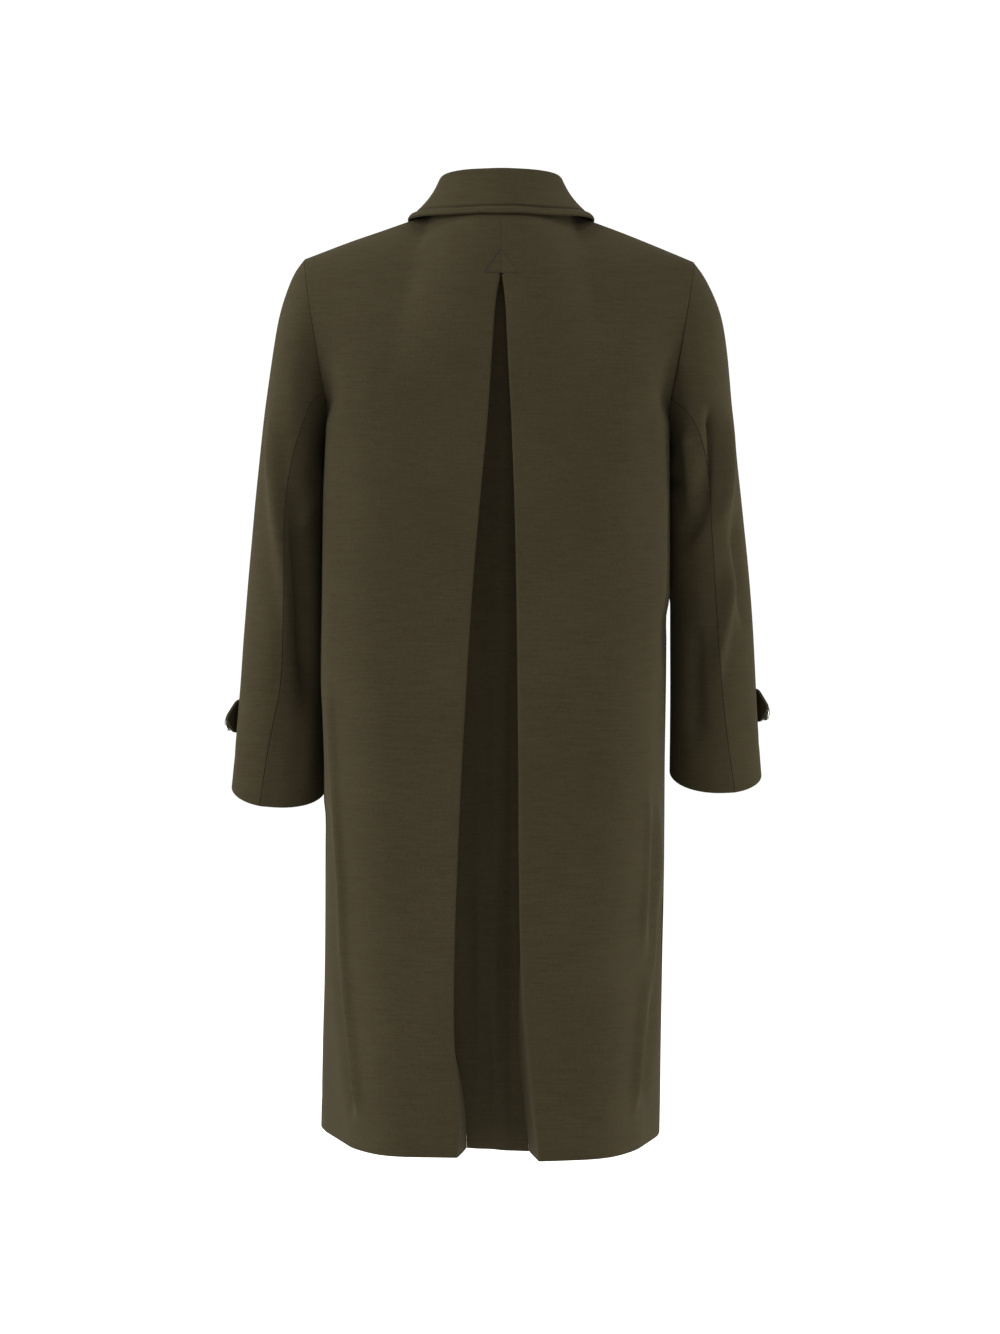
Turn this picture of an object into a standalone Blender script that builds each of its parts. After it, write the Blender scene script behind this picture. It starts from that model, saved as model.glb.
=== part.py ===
"""Loden coat in the form it has when worn, with nobody in it.

Every cloth piece is a wall between an outer and an inner surface. The
surfaces are lofts through sections worked out from the tables below.
Lengths are in millimetres here and become metres when a mesh is made.
The front faces -Y, +X is the wearer's left and +Z is up. The origin is
the middle of the neck opening, level with the nape seam.
"""

import math

import bmesh
import bpy
import numpy as np
from mathutils import Matrix, Vector
from mathutils.bvhtree import BVHTree

MM = 0.001
NAME = "loden_coat"

# cloth
WALL = 2.2
LEAF_WALL = 2.4
TAB_WALL = 3.2
SEAM_GAP = 0.3
LAY_GAP = 0.5

# body
UNDERARM_Z = -262.0
HEM_Z = -1078.0
SIDE_HEM_Z = -1076.0
FOLD_HEM_Z = {"left": -1077.0, "right": -1081.0}
LOWER_ROWS = 16
ARM_ROWS = 12
BACK_SPANS = (8, 4, 4)
BACK_NECK_COLUMNS = 6
FRONT_SPANS = (2, 3, 3, 4)
FRONT_NECK_SPANS = (2, 4)
LAP = 22.0
LAP_LINE = 25.0
LAP_EASE = 24.0

# pleat
PLEAT_TOP_Z = -94.0
PLEAT_CLOSE = 3.0
UNDERLAY_RISE = 7.0
FOLD_RADIUS = 3.6
FOLD_STEPS = 5
RETURN_STEPS = 3
UNDERLAY_COLUMNS = 8
UNDERLAY_WAVE = 3.5

# sleeves
BACK_ARM_SPANS = (8, 4)
SLEEVE_STOPS = (
    0, 0.5, 1, 1.5, 2, 2.5, 3, 3.5, 4, 4.5, 5, 5.5, 6, 6.5, 7, 7.6,
    8.2, 8.8, 9.4, 10, 10.6, 11.3, 12,
)

# collar
NECK_HALF_WIDTH = 79.0
NECK_BACK = 62.0
NECK_SIDE_Y = -4.0
NECK_FRONT = -88.0
NECK_SIDE_Z = -6.0
NECK_FRONT_Z = -84.0
SHOULDER_RISE = 1.0
COLLAR_ANGLES = (0, 12, 24, 36, 48, 60, 70, 80, 90, 100, 110, 122, 135, 148, 160, 173)
COLLAR_SEAT = 0.5
ROLL_RADIUS = 3.4
ROLL_STEPS = 4
LEAF_STEPS = 5
LEAF_CLEARANCE = 1.4

# cuff tabs and buttons
TAB_WIDTH = 41.0
TAB_WRAP = 58.0
TAB_FREE = 37.0
TAB_POINT = 21.0
TAB_TIP_WIDTH = 5.0
TAB_LEAVE_ANGLE = -26.0
BUTTON_RADIUS = 10.0
BUTTON_HEIGHT = 4.2
BUTTON_SIDES = 16
BUTTON_FROM_TIP = 14.0
BUTTON_DROP = 7.0
FRONT_BUTTON_Z = (-150.0, -275.0, -400.0, -525.0)

BODY_COLUMNS = (
    "z", "side_left", "side_right", "ridge_left", "ridge_right", "ridge_y",
    "back_y", "turn_left", "turn_right", "seam_y", "cut", "front_y",
)
BODY_ROWS = (
    (-262, 197, 190, 198, 187, 84, 122, 30, 30, 6, 30, -108),
    (-300, 200, 191.5, 199.5, 186, 86, 122, 28, 30, 9, 28, -112),
    (-350, 202.5, 192.5, 199.5, 184, 88, 122, 24, 30, 10, 25, -116),
    (-450, 204.5, 193.5, 197, 178, 93, 127, 22, 30, 16, 20, -123),
    (-550, 205.5, 192.5, 195, 173, 99, 136, 20, 30, 20, 16, -131),
    (-650, 206, 191, 190, 168, 105, 148, 18, 32, 24, 14, -139),
    (-750, 206, 189.8, 186, 165, 111, 160, 16, 36, 28, 13, -146),
    (-850, 206.5, 187.8, 180, 161, 118, 172, 12, 40, 30, 13, -153),
    (-950, 209, 185.8, 174, 156, 127, 184, 8, 46, 32, 14, -158),
    (-1081, 213, 183.5, 167, 153, 140, 197, 2, 52, 32, 18, -163),
)

PLEAT_COLUMNS = ("z", "open_left", "open_right", "depth", "turn_left", "turn_right")
PLEAT_ROWS = (
    (-94, 0.3, 0.3, 12, 25, 25),
    (-118, 5.2, 4, 17, 25, 25),
    (-177, 10, 7, 26, 25, 25),
    (-236, 13.5, 10, 33, 25, 25),
    (-293, 18, 12.4, 38, 25, 25),
    (-350, 23.5, 14.6, 42, 25, 25),
    (-463, 33, 17.6, 48, 25, 25),
    (-575, 39.5, 18.8, 52, 25, 25),
    (-685, 45.5, 19.6, 55, 25, 22),
    (-795, 50, 20, 58, 25, 10),
    (-850, 51.8, 21, 59, 20, 1),
    (-905, 52.5, 23.5, 60, 12, -5),
    (-960, 52, 28, 61, 3, -9),
    (-1000, 47.5, 33, 62, -2, -10),
    (-1034, 43, 36.5, 62, -4, -10),
    (-1060, 45, 38.5, 62, -7, -9),
    (-1081, 48, 41, 62, -9, -9),
)

PROFILE_COLUMNS = ("z", "y")
BACK_PROFILE_ROWS = (
    (-262, 122), (-200, 124), (-150, 121.5), (-110, 114), (-70, 100),
    (-35, 83), (-12, 70), (0, 62),
)
FRONT_PROFILE_ROWS = (
    (-262, -108), (-200, -107), (-150, -103), (-110, -95), (-84, -88),
)

SLEEVE_COLUMNS = (
    "ring", "outer_x", "outer_z", "inner_x", "inner_z",
    "back_y", "front_y", "hind", "fore", "dip",
)
SLEEVE_LEFT_ROWS = (
    (0, 229, -62.0, 197, -262, 78, -66, 0.20, 0.25, 0),
    (1, 239.5, -76, 199.3, -266, 81, -69, 0.21, 0.25, 0),
    (2, 249, -98, 201.3, -270, 84, -71, 0.23, 0.26, 0),
    (3, 259, -130, 203.3, -276, 86, -74, 0.26, 0.27, 0),
    (4, 267, -178, 204.6, -284, 87, -77, 0.30, 0.28, 0),
    (5, 274, -228, 205.6, -298, 86, -79, 0.36, 0.30, 0),
    (6, 281, -290, 206.4, -330, 82, -81, 0.46, 0.32, 0),
    (7, 289, -360, 207.0, -378, 74, -82, 0.50, 0.34, 0),
    (8, 296, -430, 207.8, -440, 66, -82, 0.48, 0.36, 0),
    (9, 302, -500, 208.4, -507, 57, -80, 0.45, 0.38, 0),
    (10, 306, -555, 209.0, -560, 47, -77, 0.46, 0.40, 2),
    (11, 311, -610, 209.6, -614, 36, -72, 0.58, 0.42, 10),
    (12, 317.5, -678, 210.0, -684, 22, -66, 0.66, 0.44, 21),
)
SLEEVE_RIGHT_ROWS = (
    (0, 225, -65.0, 190, -262, 78, -66, 0.17, 0.25, 0),
    (1, 235.5, -79, 192.0, -266, 81, -69, 0.17, 0.25, 0),
    (2, 246, -99, 194.0, -270, 84, -71, 0.19, 0.26, 0),
    (3, 258, -131, 195.6, -276, 86, -74, 0.23, 0.27, 0),
    (4, 265, -179, 196.8, -284, 87, -77, 0.29, 0.28, 0),
    (5, 269, -228, 197.6, -298, 86, -79, 0.39, 0.30, 0),
    (6, 275, -290, 198.2, -330, 82, -81, 0.47, 0.32, 0),
    (7, 283, -360, 198.6, -378, 74, -82, 0.49, 0.34, 0),
    (8, 290.5, -430, 199.0, -440, 66, -82, 0.50, 0.36, 0),
    (9, 296, -500, 199.2, -507, 57, -80, 0.52, 0.38, 0),
    (10, 299.5, -555, 199.2, -560, 47, -77, 0.55, 0.40, 2),
    (11, 303, -610, 199.2, -612, 36, -72, 0.60, 0.42, 9),
    (12, 307, -664, 198.6, -663, 22, -66, 0.68, 0.44, 22),
)
TAB_RING = {"left": 10.78, "right": 10.54}

FOLD_LINE_COLUMNS = ("angle", "x", "y", "z")
FOLD_LINE_ROWS = (
    (0, 0, 50, 33.5),
    (30, 36, 42, 33.5),
    (60, 61.5, 19, 33),
    (90, 69.5, -10, 29.5),
    (120, 60, -44, 8),
    (150, 36, -73, -26),
    (173, 9, -86, -48),
)
LEAF_EDGE_ROWS = (
    (0, 0, 77, -19.3),
    (30, 51, 69, -18.5),
    (60, 93, 38, -15),
    (90, 110, -6, -12.5),
    (120, 102, -57, -39),
    (150, 76, -97, -82),
    (173, 39, -114, -124),
)

SIDES = {"left": 1.0, "right": -1.0}

MATERIALS = {
    "loden": ((0.048, 0.040, 0.022), 0.95, 0.0),
    "loden_underlay": ((0.042, 0.035, 0.019), 0.95, 0.0),
    "button_metal": ((0.62, 0.61, 0.59), 0.32, 1.0),
}


def smooth(keys, values, key):
    """Value at a key on a curve that goes through all rows and never overshoots."""
    keys = np.asarray(keys, float)
    values = np.asarray(values, float)
    steps = np.diff(keys)
    slopes = np.diff(values) / steps
    tangents = np.zeros(len(keys))
    tangents[0] = slopes[0]
    tangents[-1] = slopes[-1]
    for index in range(1, len(keys) - 1):
        before = slopes[index - 1]
        after = slopes[index]
        if before * after > 0:
            wide = 2 * steps[index] + steps[index - 1]
            narrow = steps[index] + 2 * steps[index - 1]
            tangents[index] = (wide + narrow) / (wide / before + narrow / after)
    place = int(np.clip(np.searchsorted(keys, key) - 1, 0, len(keys) - 2))
    part = (np.clip(key, keys[0], keys[-1]) - keys[place]) / steps[place]
    return (
        (1 + 2 * part) * (1 - part) ** 2 * values[place]
        + part * (1 - part) ** 2 * steps[place] * tangents[place]
        + part**2 * (3 - 2 * part) * values[place + 1]
        + part**2 * (part - 1) * steps[place] * tangents[place + 1]
    )


def look_up(columns, rows, key):
    """All named columns of a table at one key of its first column."""
    ordered = sorted(rows)
    keys = [row[0] for row in ordered]
    found = {columns[0]: key}
    for place, name in enumerate(columns[1:], start=1):
        found[name] = smooth(keys, [row[place] for row in ordered], key)
    return found


def unit(vectors):
    """Vectors at length one."""
    vectors = np.asarray(vectors, float)
    return vectors / np.maximum(np.linalg.norm(vectors, axis=-1, keepdims=True), 1e-9)


def ease(value):
    """Smooth step from 0 to 1."""
    value = np.clip(value, 0.0, 1.0)
    return value * value * (3 - 2 * value)


def rounded(corners, cuts, steps=8):
    """Plan path with every inner corner eased, and where each easing starts and ends."""
    path = [np.asarray(corners[0], float)]
    marks = []
    for place, cut in enumerate(cuts, start=1):
        here = np.asarray(corners[place], float)
        before = np.asarray(corners[place - 1], float) - here
        after = np.asarray(corners[place + 1], float) - here
        start = here + unit(before) * min(cut, 0.48 * np.linalg.norm(before))
        end = here + unit(after) * min(cut, 0.48 * np.linalg.norm(after))
        marks.append((len(path), len(path) + steps))
        for step in range(steps + 1):
            part = step / steps
            path.append((1 - part) ** 2 * start + 2 * part * (1 - part) * here + part**2 * end)
    path.append(np.asarray(corners[-1], float))
    return np.array(path), marks


def spans(marks, counts):
    """Places spread evenly between marks, with a count for each stretch."""
    places = [marks[0]]
    for start, end, count in zip(marks[:-1], marks[1:], counts):
        places.extend(start + (end - start) * (step + 1) / count for step in range(count))
    return np.array(places)


def fold_place(side, z):
    """Pleat sizes on one side at a height."""
    row = look_up(PLEAT_COLUMNS, PLEAT_ROWS, z)
    return row["open_" + side], row["depth"], math.radians(row["turn_" + side])


def body_section(side, z):
    """Plan points of the back and the front columns of one half at a height."""
    row = look_up(BODY_COLUMNS, BODY_ROWS, z)
    sign = SIDES[side]
    wide = row["side_" + side]
    ridge = row["ridge_" + side]
    opening, _, _ = fold_place(side, z)
    corners = (
        (opening + FOLD_RADIUS, row["back_y"]),
        (ridge - 36, row["back_y"] - 5),
        (ridge, row["ridge_y"]),
        (wide, row["turn_" + side]),
        (wide, -60),
        (0.82 * wide, row["front_y"] + 22),
        (60, row["front_y"]),
        (-LAP, row["front_y"]),
    )
    cuts = (30, row["cut"], 22, 34, 46, 30)
    path, marks = rounded(corners, cuts)
    along = np.concatenate(([0], np.cumsum(np.linalg.norm(np.diff(path, axis=0), axis=1))))
    ridge_marks = marks[1]
    front_marks = marks[4]
    stretch = slice(ridge_marks[1], front_marks[0])
    seam = np.interp(-row["seam_y"], -path[stretch, 1], along[stretch])
    back = spans((0, along[ridge_marks[0]], along[ridge_marks[1]], seam), BACK_SPANS)
    lap_line = along[-1] - LAP - LAP_LINE
    front = spans(
        (along[-1], lap_line, along[front_marks[1]], along[front_marks[0]], seam), FRONT_SPANS
    )

    def points(places):
        plan = np.empty((len(places), 3))
        plan[:, 0] = np.interp(places, along, path[:, 0]) * sign
        plan[:, 1] = np.interp(places, along, path[:, 1])
        plan[:, 2] = z
        return plan

    return points(back), points(front)


def hem_height(side, back_columns):
    """Height of the hem at each back column: the right half hangs a little lower."""
    part = np.linspace(1, 0, back_columns)
    return SIDE_HEM_Z + (FOLD_HEM_Z[side] - SIDE_HEM_Z) * part


def neck_point(angle, side):
    """Point of the neckline; the angle runs from the nape to the middle of the front."""
    turn = math.radians(angle)
    x = NECK_HALF_WIDTH * math.sin(turn)
    if angle <= 90:
        y = NECK_SIDE_Y + (NECK_BACK - NECK_SIDE_Y) * math.cos(turn)
        z = NECK_SIDE_Z * (1 - math.cos(turn) ** 2)
    else:
        y = NECK_SIDE_Y + (NECK_SIDE_Y - NECK_FRONT) * math.cos(turn)
        z = NECK_SIDE_Z + (NECK_FRONT_Z - NECK_SIDE_Z) * math.cos(turn) ** 2
    return np.array((SIDES[side] * x, y, z))


def neck_edge(angle, side):
    """Point on the edge that the panels have at the neck, straight between their columns."""
    if angle <= 90:
        places = np.linspace(0, 90, BACK_NECK_COLUMNS + 1)
    else:
        places = front_neck_angles()[::-1]
    points = np.array([neck_point(place, side) for place in places])
    return np.array([np.interp(angle, places, points[:, axis]) for axis in range(3)])


def front_neck_angles():
    """Angles of a front's columns at the neck, from its closing edge to the shoulder."""
    edge_angle = 180 + math.degrees(math.asin(LAP / NECK_HALF_WIDTH))
    line_angle = 180 - math.degrees(math.asin(LAP_LINE / NECK_HALF_WIDTH))
    return spans((edge_angle, line_angle, 90), FRONT_NECK_SPANS)


def sleeve_rows(side):
    """Table of the sleeve of one side."""
    return SLEEVE_LEFT_ROWS if side == "left" else SLEEVE_RIGHT_ROWS


def sleeve_angles(row):
    """Angles of the columns: 0 is the outer point, 90 the back, 270 the front."""
    hind = math.degrees(math.acos(2 * row["hind"] - 1))
    fore = 360 - math.degrees(math.acos(2 * row["fore"] - 1))
    outer, under = BACK_ARM_SPANS
    return spans((0, hind, 180, fore, 360), (outer, under, under, outer))


def sleeve_ring(side, ring, angles=None):
    """Points and in-plane normals of one sleeve ring."""
    row = look_up(SLEEVE_COLUMNS, sleeve_rows(side), ring)
    sign = SIDES[side]
    middle_y = (row["back_y"] + row["front_y"]) / 2
    deep = (row["back_y"] - row["front_y"]) / 2
    outer = np.array((sign * row["outer_x"], middle_y, row["outer_z"]))
    inner = np.array((sign * row["inner_x"], middle_y, row["inner_z"]))
    half = (outer - inner) / 2
    turns = np.radians(sleeve_angles(row) if angles is None else angles)
    cosine = np.cos(turns)[:, None]
    sine = np.sin(turns)[:, None]
    y_axis = np.array((0.0, 1.0, 0.0))
    points = (outer + inner) / 2 + half * cosine + y_axis * deep * sine
    points[:, 2] -= row["dip"] * sine[:, 0]
    length = np.linalg.norm(half)
    normals = unit(unit(half) * cosine / length + y_axis * sine / deep)
    return points, normals


def armhole(side):
    """Armhole points, wall directions of the body and the sleeve, and the plane's direction."""
    points, normals = sleeve_ring(side, 0)
    plane = unit(np.cross(points[6] - points[0], points[12] - points[0]))
    if plane[0] * SIDES[side] < 0:
        plane = -plane
    heights = points[:, 2]
    low = ((heights.max() - heights) / (heights.max() - heights.min()))[:, None] ** 2
    body = unit(normals + plane * (0.25 + 2.1 * low))
    sleeve = unit(normals + plane * (0.25 - 1.35 * low))
    return points, body, sleeve, plane


def fractions(points):
    """Share of the way along a row of points."""
    along = np.concatenate(([0], np.cumsum(np.linalg.norm(np.diff(points, axis=0), axis=1))))
    return along / along[-1]


def bulge(points, shares):
    """How far a curve lies from the straight line between its ends."""
    return points - ((1 - shares) * points[0] + shares * points[-1])


def patch(bottom, top, near, far, across):
    """Surface between four edge curves, its rows spread as on the two side curves."""
    near_up = fractions(near)[:, None]
    far_up = fractions(far)[:, None]
    across = across[None, :, None]
    up = (1 - across) * near_up[:, None] + across * far_up[:, None]
    surface = (1 - up) * bottom[None] + up * top[None]
    surface = surface + (1 - across) * bulge(near, near_up)[:, None]
    return surface + across * bulge(far, far_up)[:, None]


def soften(grid, join, reach, passes):
    """Ease the change of slope at a row, with the outer columns held."""
    for _ in range(passes):
        copy = grid.copy()
        for row in range(join - reach, join + reach + 1):
            middle = (copy[row - 1, 1:-1] + 2 * copy[row, 1:-1] + copy[row + 1, 1:-1]) / 4
            grid[row, 1:-1] = middle
    return grid


def back_heights():
    """Heights of the rows at the centre back, from the hem to the nape."""
    lower = np.linspace(HEM_Z, UNDERARM_Z, LOWER_ROWS + 1)
    above = spans((UNDERARM_Z, PLEAT_TOP_Z, PLEAT_TOP_Z + PLEAT_CLOSE, 0.0), (7, 1, 4))
    return np.concatenate((lower, above[1:]))


def shoulder_line(neck, tip, columns):
    """Points of the shoulder seam after the neck, a little higher than a straight line."""
    points = []
    for column in range(1, columns + 1):
        part = column / columns
        rise = np.array((0.0, 0.0, 4 * SHOULDER_RISE * part * (1 - part)))
        points.append(neck + (tip - neck) * part + rise)
    return points


def lower_part(side, place, heights, hem):
    """Panel below the underarm, stretched so that it ends at the hem."""
    lower = np.array([body_section(side, z)[place] for z in heights])
    share = (lower[:, :, 2] - UNDERARM_Z) / (HEM_Z - UNDERARM_Z)
    lower[:, :, 2] = UNDERARM_Z + share * (hem - UNDERARM_Z)
    return lower


def whole_panel(lower, near, far, neck, shoulder_columns):
    """Panel from the hem to the neck and the shoulder seam."""
    top = np.array(neck + shoulder_line(neck[-1], far[-1], shoulder_columns))
    across = (fractions(lower[-1]) + fractions(top)) / 2
    upper = patch(lower[-1], top, near, far, across)
    return soften(np.concatenate((lower, upper[1:])), LOWER_ROWS, 3, 4)


def back_panel(side):
    """Outer surface of a back panel without its pleat columns."""
    sign = SIDES[side]
    heights = back_heights()
    hem = hem_height(side, sum(BACK_SPANS) + 1)
    lower = lower_part(side, 0, heights[: LOWER_ROWS + 1], hem)
    near = []
    for z in heights[LOWER_ROWS:]:
        y = look_up(PROFILE_COLUMNS, BACK_PROFILE_ROWS, z)["y"]
        x = 0.0
        if z <= PLEAT_TOP_Z + 1e-6:
            x = fold_place(side, z)[0] + FOLD_RADIUS
        near.append((sign * x, y, z))
    neck = [neck_point(angle, side) for angle in np.linspace(0, 90, BACK_NECK_COLUMNS + 1)]
    far = armhole(side)[0][ARM_ROWS::-1]
    return whole_panel(lower, np.array(near), far, neck, sum(BACK_SPANS) - BACK_NECK_COLUMNS)


def front_panel(side):
    """Outer surface of a front panel; columns run from the closing edge to the side."""
    sign = SIDES[side]
    heights = np.linspace(HEM_Z, UNDERARM_Z, LOWER_ROWS + 1)
    lower = lower_part(side, 1, heights, SIDE_HEM_Z)
    neck = [neck_point(angle, side) for angle in front_neck_angles()]
    near = []
    for z in np.linspace(UNDERARM_Z, neck[0][2], ARM_ROWS + 1):
        y = look_up(PROFILE_COLUMNS, FRONT_PROFILE_ROWS, z)["y"]
        near.append((-sign * LAP, y, z))
    near[-1] = neck[0]
    far = armhole(side)[0][ARM_ROWS:]
    shoulder_columns = sum(FRONT_SPANS) - sum(FRONT_NECK_SPANS)
    grid = whole_panel(lower, np.array(near), far, neck, shoulder_columns)
    if side == "right":
        inset = ease((grid[..., 0] + LAP_LINE + 3 + LAP_EASE) / LAP_EASE)
        grid[..., 1] += inset * (WALL + LAY_GAP)
        grid[-3:, :, 2] -= (inset * 1.2)[-3:]
    return grid


def grid_normals(grid, closed=False):
    """Normals of a grid surface by central differences, pointing to the outside."""
    if closed:
        across = np.roll(grid, -1, axis=1) - np.roll(grid, 1, axis=1)
    else:
        across = np.gradient(grid, axis=1)
    up = np.gradient(grid, axis=0)
    return unit(np.cross(across, up))


def outward(normals, grid, centre):
    """Normals turned to point away from a centre."""
    if np.mean(np.sum(normals * (grid - centre), axis=-1)) < 0:
        return -normals
    return normals


def make_material(name):
    """Principled material from the list of finishes."""
    found = bpy.data.materials.get(name)
    if found:
        return found
    colour, roughness, metallic = MATERIALS[name]
    material = bpy.data.materials.new(name)
    material.use_nodes = True
    shader = material.node_tree.nodes["Principled BSDF"]
    shader.inputs["Base Color"].default_value = (*colour, 1.0)
    shader.inputs["Roughness"].default_value = roughness
    shader.inputs["Metallic"].default_value = metallic
    material.diffuse_color = (*colour, 1.0)
    return material


def add_object(name, mesh, material, collection):
    """Object for a mesh that is already at its place."""
    mesh.materials.append(make_material(material))
    for polygon in mesh.polygons:
        polygon.use_smooth = True
    part = bpy.data.objects.new(name, mesh)
    collection.objects.link(part)
    return part


def cloth(name, outer, normals, wall, collection, shift=None, keep=None, material="loden"):
    """Closed cloth wall between a surface and the same surface moved in by its thickness."""
    rows, columns = outer.shape[:2]
    if keep is None:
        keep = np.ones((rows - 1, columns - 1), bool)
    inner = outer - normals * wall
    if shift is not None:
        inner = inner + shift
        outer = outer + shift
    used = np.zeros((rows, columns), bool)
    for down in (0, 1):
        for over in (0, 1):
            used[down : rows - 1 + down, over : columns - 1 + over] |= keep
    number = np.full((rows, columns), -1)
    number[used] = np.arange(used.sum())
    count = int(used.sum())
    points = np.concatenate((outer[used], inner[used])) * MM
    cells = []
    for row, column in zip(*np.nonzero(keep)):
        here = number[row, column]
        right = number[row, column + 1]
        across = number[row + 1, column + 1]
        above = number[row + 1, column]
        rising = np.linalg.norm(outer[row, column] - outer[row + 1, column + 1])
        falling = np.linalg.norm(outer[row, column + 1] - outer[row + 1, column])
        if rising <= falling:
            cells += [(here, right, across), (here, across, above)]
        else:
            cells += [(here, right, above), (right, across, above)]
    row, column = np.argwhere(keep)[len(cells) // 4]
    facing = np.cross(
        outer[row, column + 1] - outer[row, column],
        outer[row + 1, column] - outer[row, column],
    )
    if np.dot(facing, normals[row, column]) < 0:
        cells = [cell[::-1] for cell in cells]
    edges = {}
    for cell in cells:
        for start, end in zip(cell, cell[1:] + cell[:1]):
            edges[(start, end)] = True
    faces = [tuple(int(v) for v in cell) for cell in cells]
    faces += [tuple(int(v) + count for v in cell[::-1]) for cell in cells]
    for start, end in edges:
        if (end, start) not in edges:
            faces.append((int(end), int(start), int(start) + count))
            faces.append((int(end), int(start) + count, int(end) + count))
    mesh = bpy.data.meshes.new(name)
    mesh.from_pydata([tuple(point) for point in points], [], faces)
    mesh.update()
    return add_object(name, mesh, material, collection)


def surface_tree(grids):
    """Search tree of outer surfaces, in millimetres."""
    points = []
    faces = []
    for grid in grids:
        rows, columns = grid.shape[:2]
        base = len(points)
        points.extend(Vector(point) for point in grid.reshape(-1, 3))
        for row in range(rows - 1):
            for column in range(columns - 1):
                a = base + row * columns + column
                faces.append((a, a + 1, a + columns + 1))
                faces.append((a, a + columns + 1, a + columns))
    return BVHTree.FromPolygons(points, faces)


def settle(points, tree, centre, clearance):
    """Points moved until each is clear of a surface: above it, or below for a negative value."""
    flat = points.reshape(-1, 3).copy()
    for index, point in enumerate(flat):
        place, normal, _, distance = tree.find_nearest(Vector(point))
        if place is None or distance > 60:
            continue
        if normal.dot(place - centre) < 0:
            normal = -normal
        height = (Vector(point) - place).dot(normal)
        missing = clearance - height
        if missing * clearance > 0:
            flat[index] = np.array(Vector(point) + normal * missing)
    return flat.reshape(points.shape)


def shared_seams(backs, fronts, back_normals, front_normals):
    """One normal for both sides of every seam, so that the two walls end face to face."""
    for side in SIDES:
        ring_normals = armhole(side)[1]
        back = back_normals[side]
        front = front_normals[side]
        low = slice(0, LOWER_ROWS)
        seam = unit(back[low, -1] + front[low, -1])
        back[low, -1] = seam
        front[low, -1] = seam
        back[LOWER_ROWS:, -1] = ring_normals[ARM_ROWS::-1]
        front[LOWER_ROWS:, -1] = ring_normals[ARM_ROWS:]
        top_back = back[-1, BACK_NECK_COLUMNS:]
        top_front = front[-1, sum(FRONT_NECK_SPANS):]
        steps_back = np.linspace(0, 1, len(top_back))
        steps_front = np.linspace(0, 1, len(top_front))
        front_on_back = np.stack(
            [np.interp(steps_back, steps_front, top_front[:, k]) for k in range(3)], axis=1
        )
        back_on_front = np.stack(
            [np.interp(steps_front, steps_back, top_back[:, k]) for k in range(3)], axis=1
        )
        new_back = unit(top_back + front_on_back)
        new_front = unit(top_front + back_on_front)
        back[-1, BACK_NECK_COLUMNS:] = new_back
        front[-1, sum(FRONT_NECK_SPANS):] = new_front


def pleat_columns(side, panel):
    """Return and fold columns in front of a back panel, with their normals."""
    sign = SIDES[side]
    rows = panel.shape[0]
    heights = back_heights()
    total = RETURN_STEPS + FOLD_STEPS
    grid = np.zeros((rows, total, 3))
    normals = np.zeros((rows, total, 3))
    for row, z in enumerate(heights):
        opening, depth, turn = fold_place(side, min(z, PLEAT_TOP_Z))
        start = panel[row, 0]
        above = panel[min(row + 1, rows - 1), 0]
        below = panel[max(row - 1, 0), 0]
        lean = (above[1] - below[1]) / (above[2] - below[2])
        centre = np.array((opening + FOLD_RADIUS, start[1] - FOLD_RADIUS))
        sweep = math.pi / 2 + turn
        for step in range(FOLD_STEPS):
            angle = math.pi / 2 + sweep * (1 - step / FOLD_STEPS)
            around = np.array((math.cos(angle), math.sin(angle)))
            spot = centre + FOLD_RADIUS * around
            grid[row, RETURN_STEPS + step] = (sign * spot[0], spot[1], start[2])
            normals[row, RETURN_STEPS + step] = (sign * around[0], around[1], -lean * around[1])
        last = np.array((sign * grid[row, RETURN_STEPS, 0], grid[row, RETURN_STEPS, 1]))
        way = np.array((math.sin(turn), -math.cos(turn)))
        length = (depth - (start[1] - last[1])) / math.cos(turn)
        for step in range(RETURN_STEPS):
            spot = last + way * length * (1 - step / RETURN_STEPS)
            grid[row, step] = (sign * spot[0], spot[1], start[2])
            normals[row, step] = (-sign * math.cos(turn), -math.sin(turn), 0)
    return grid, unit(normals)


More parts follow.
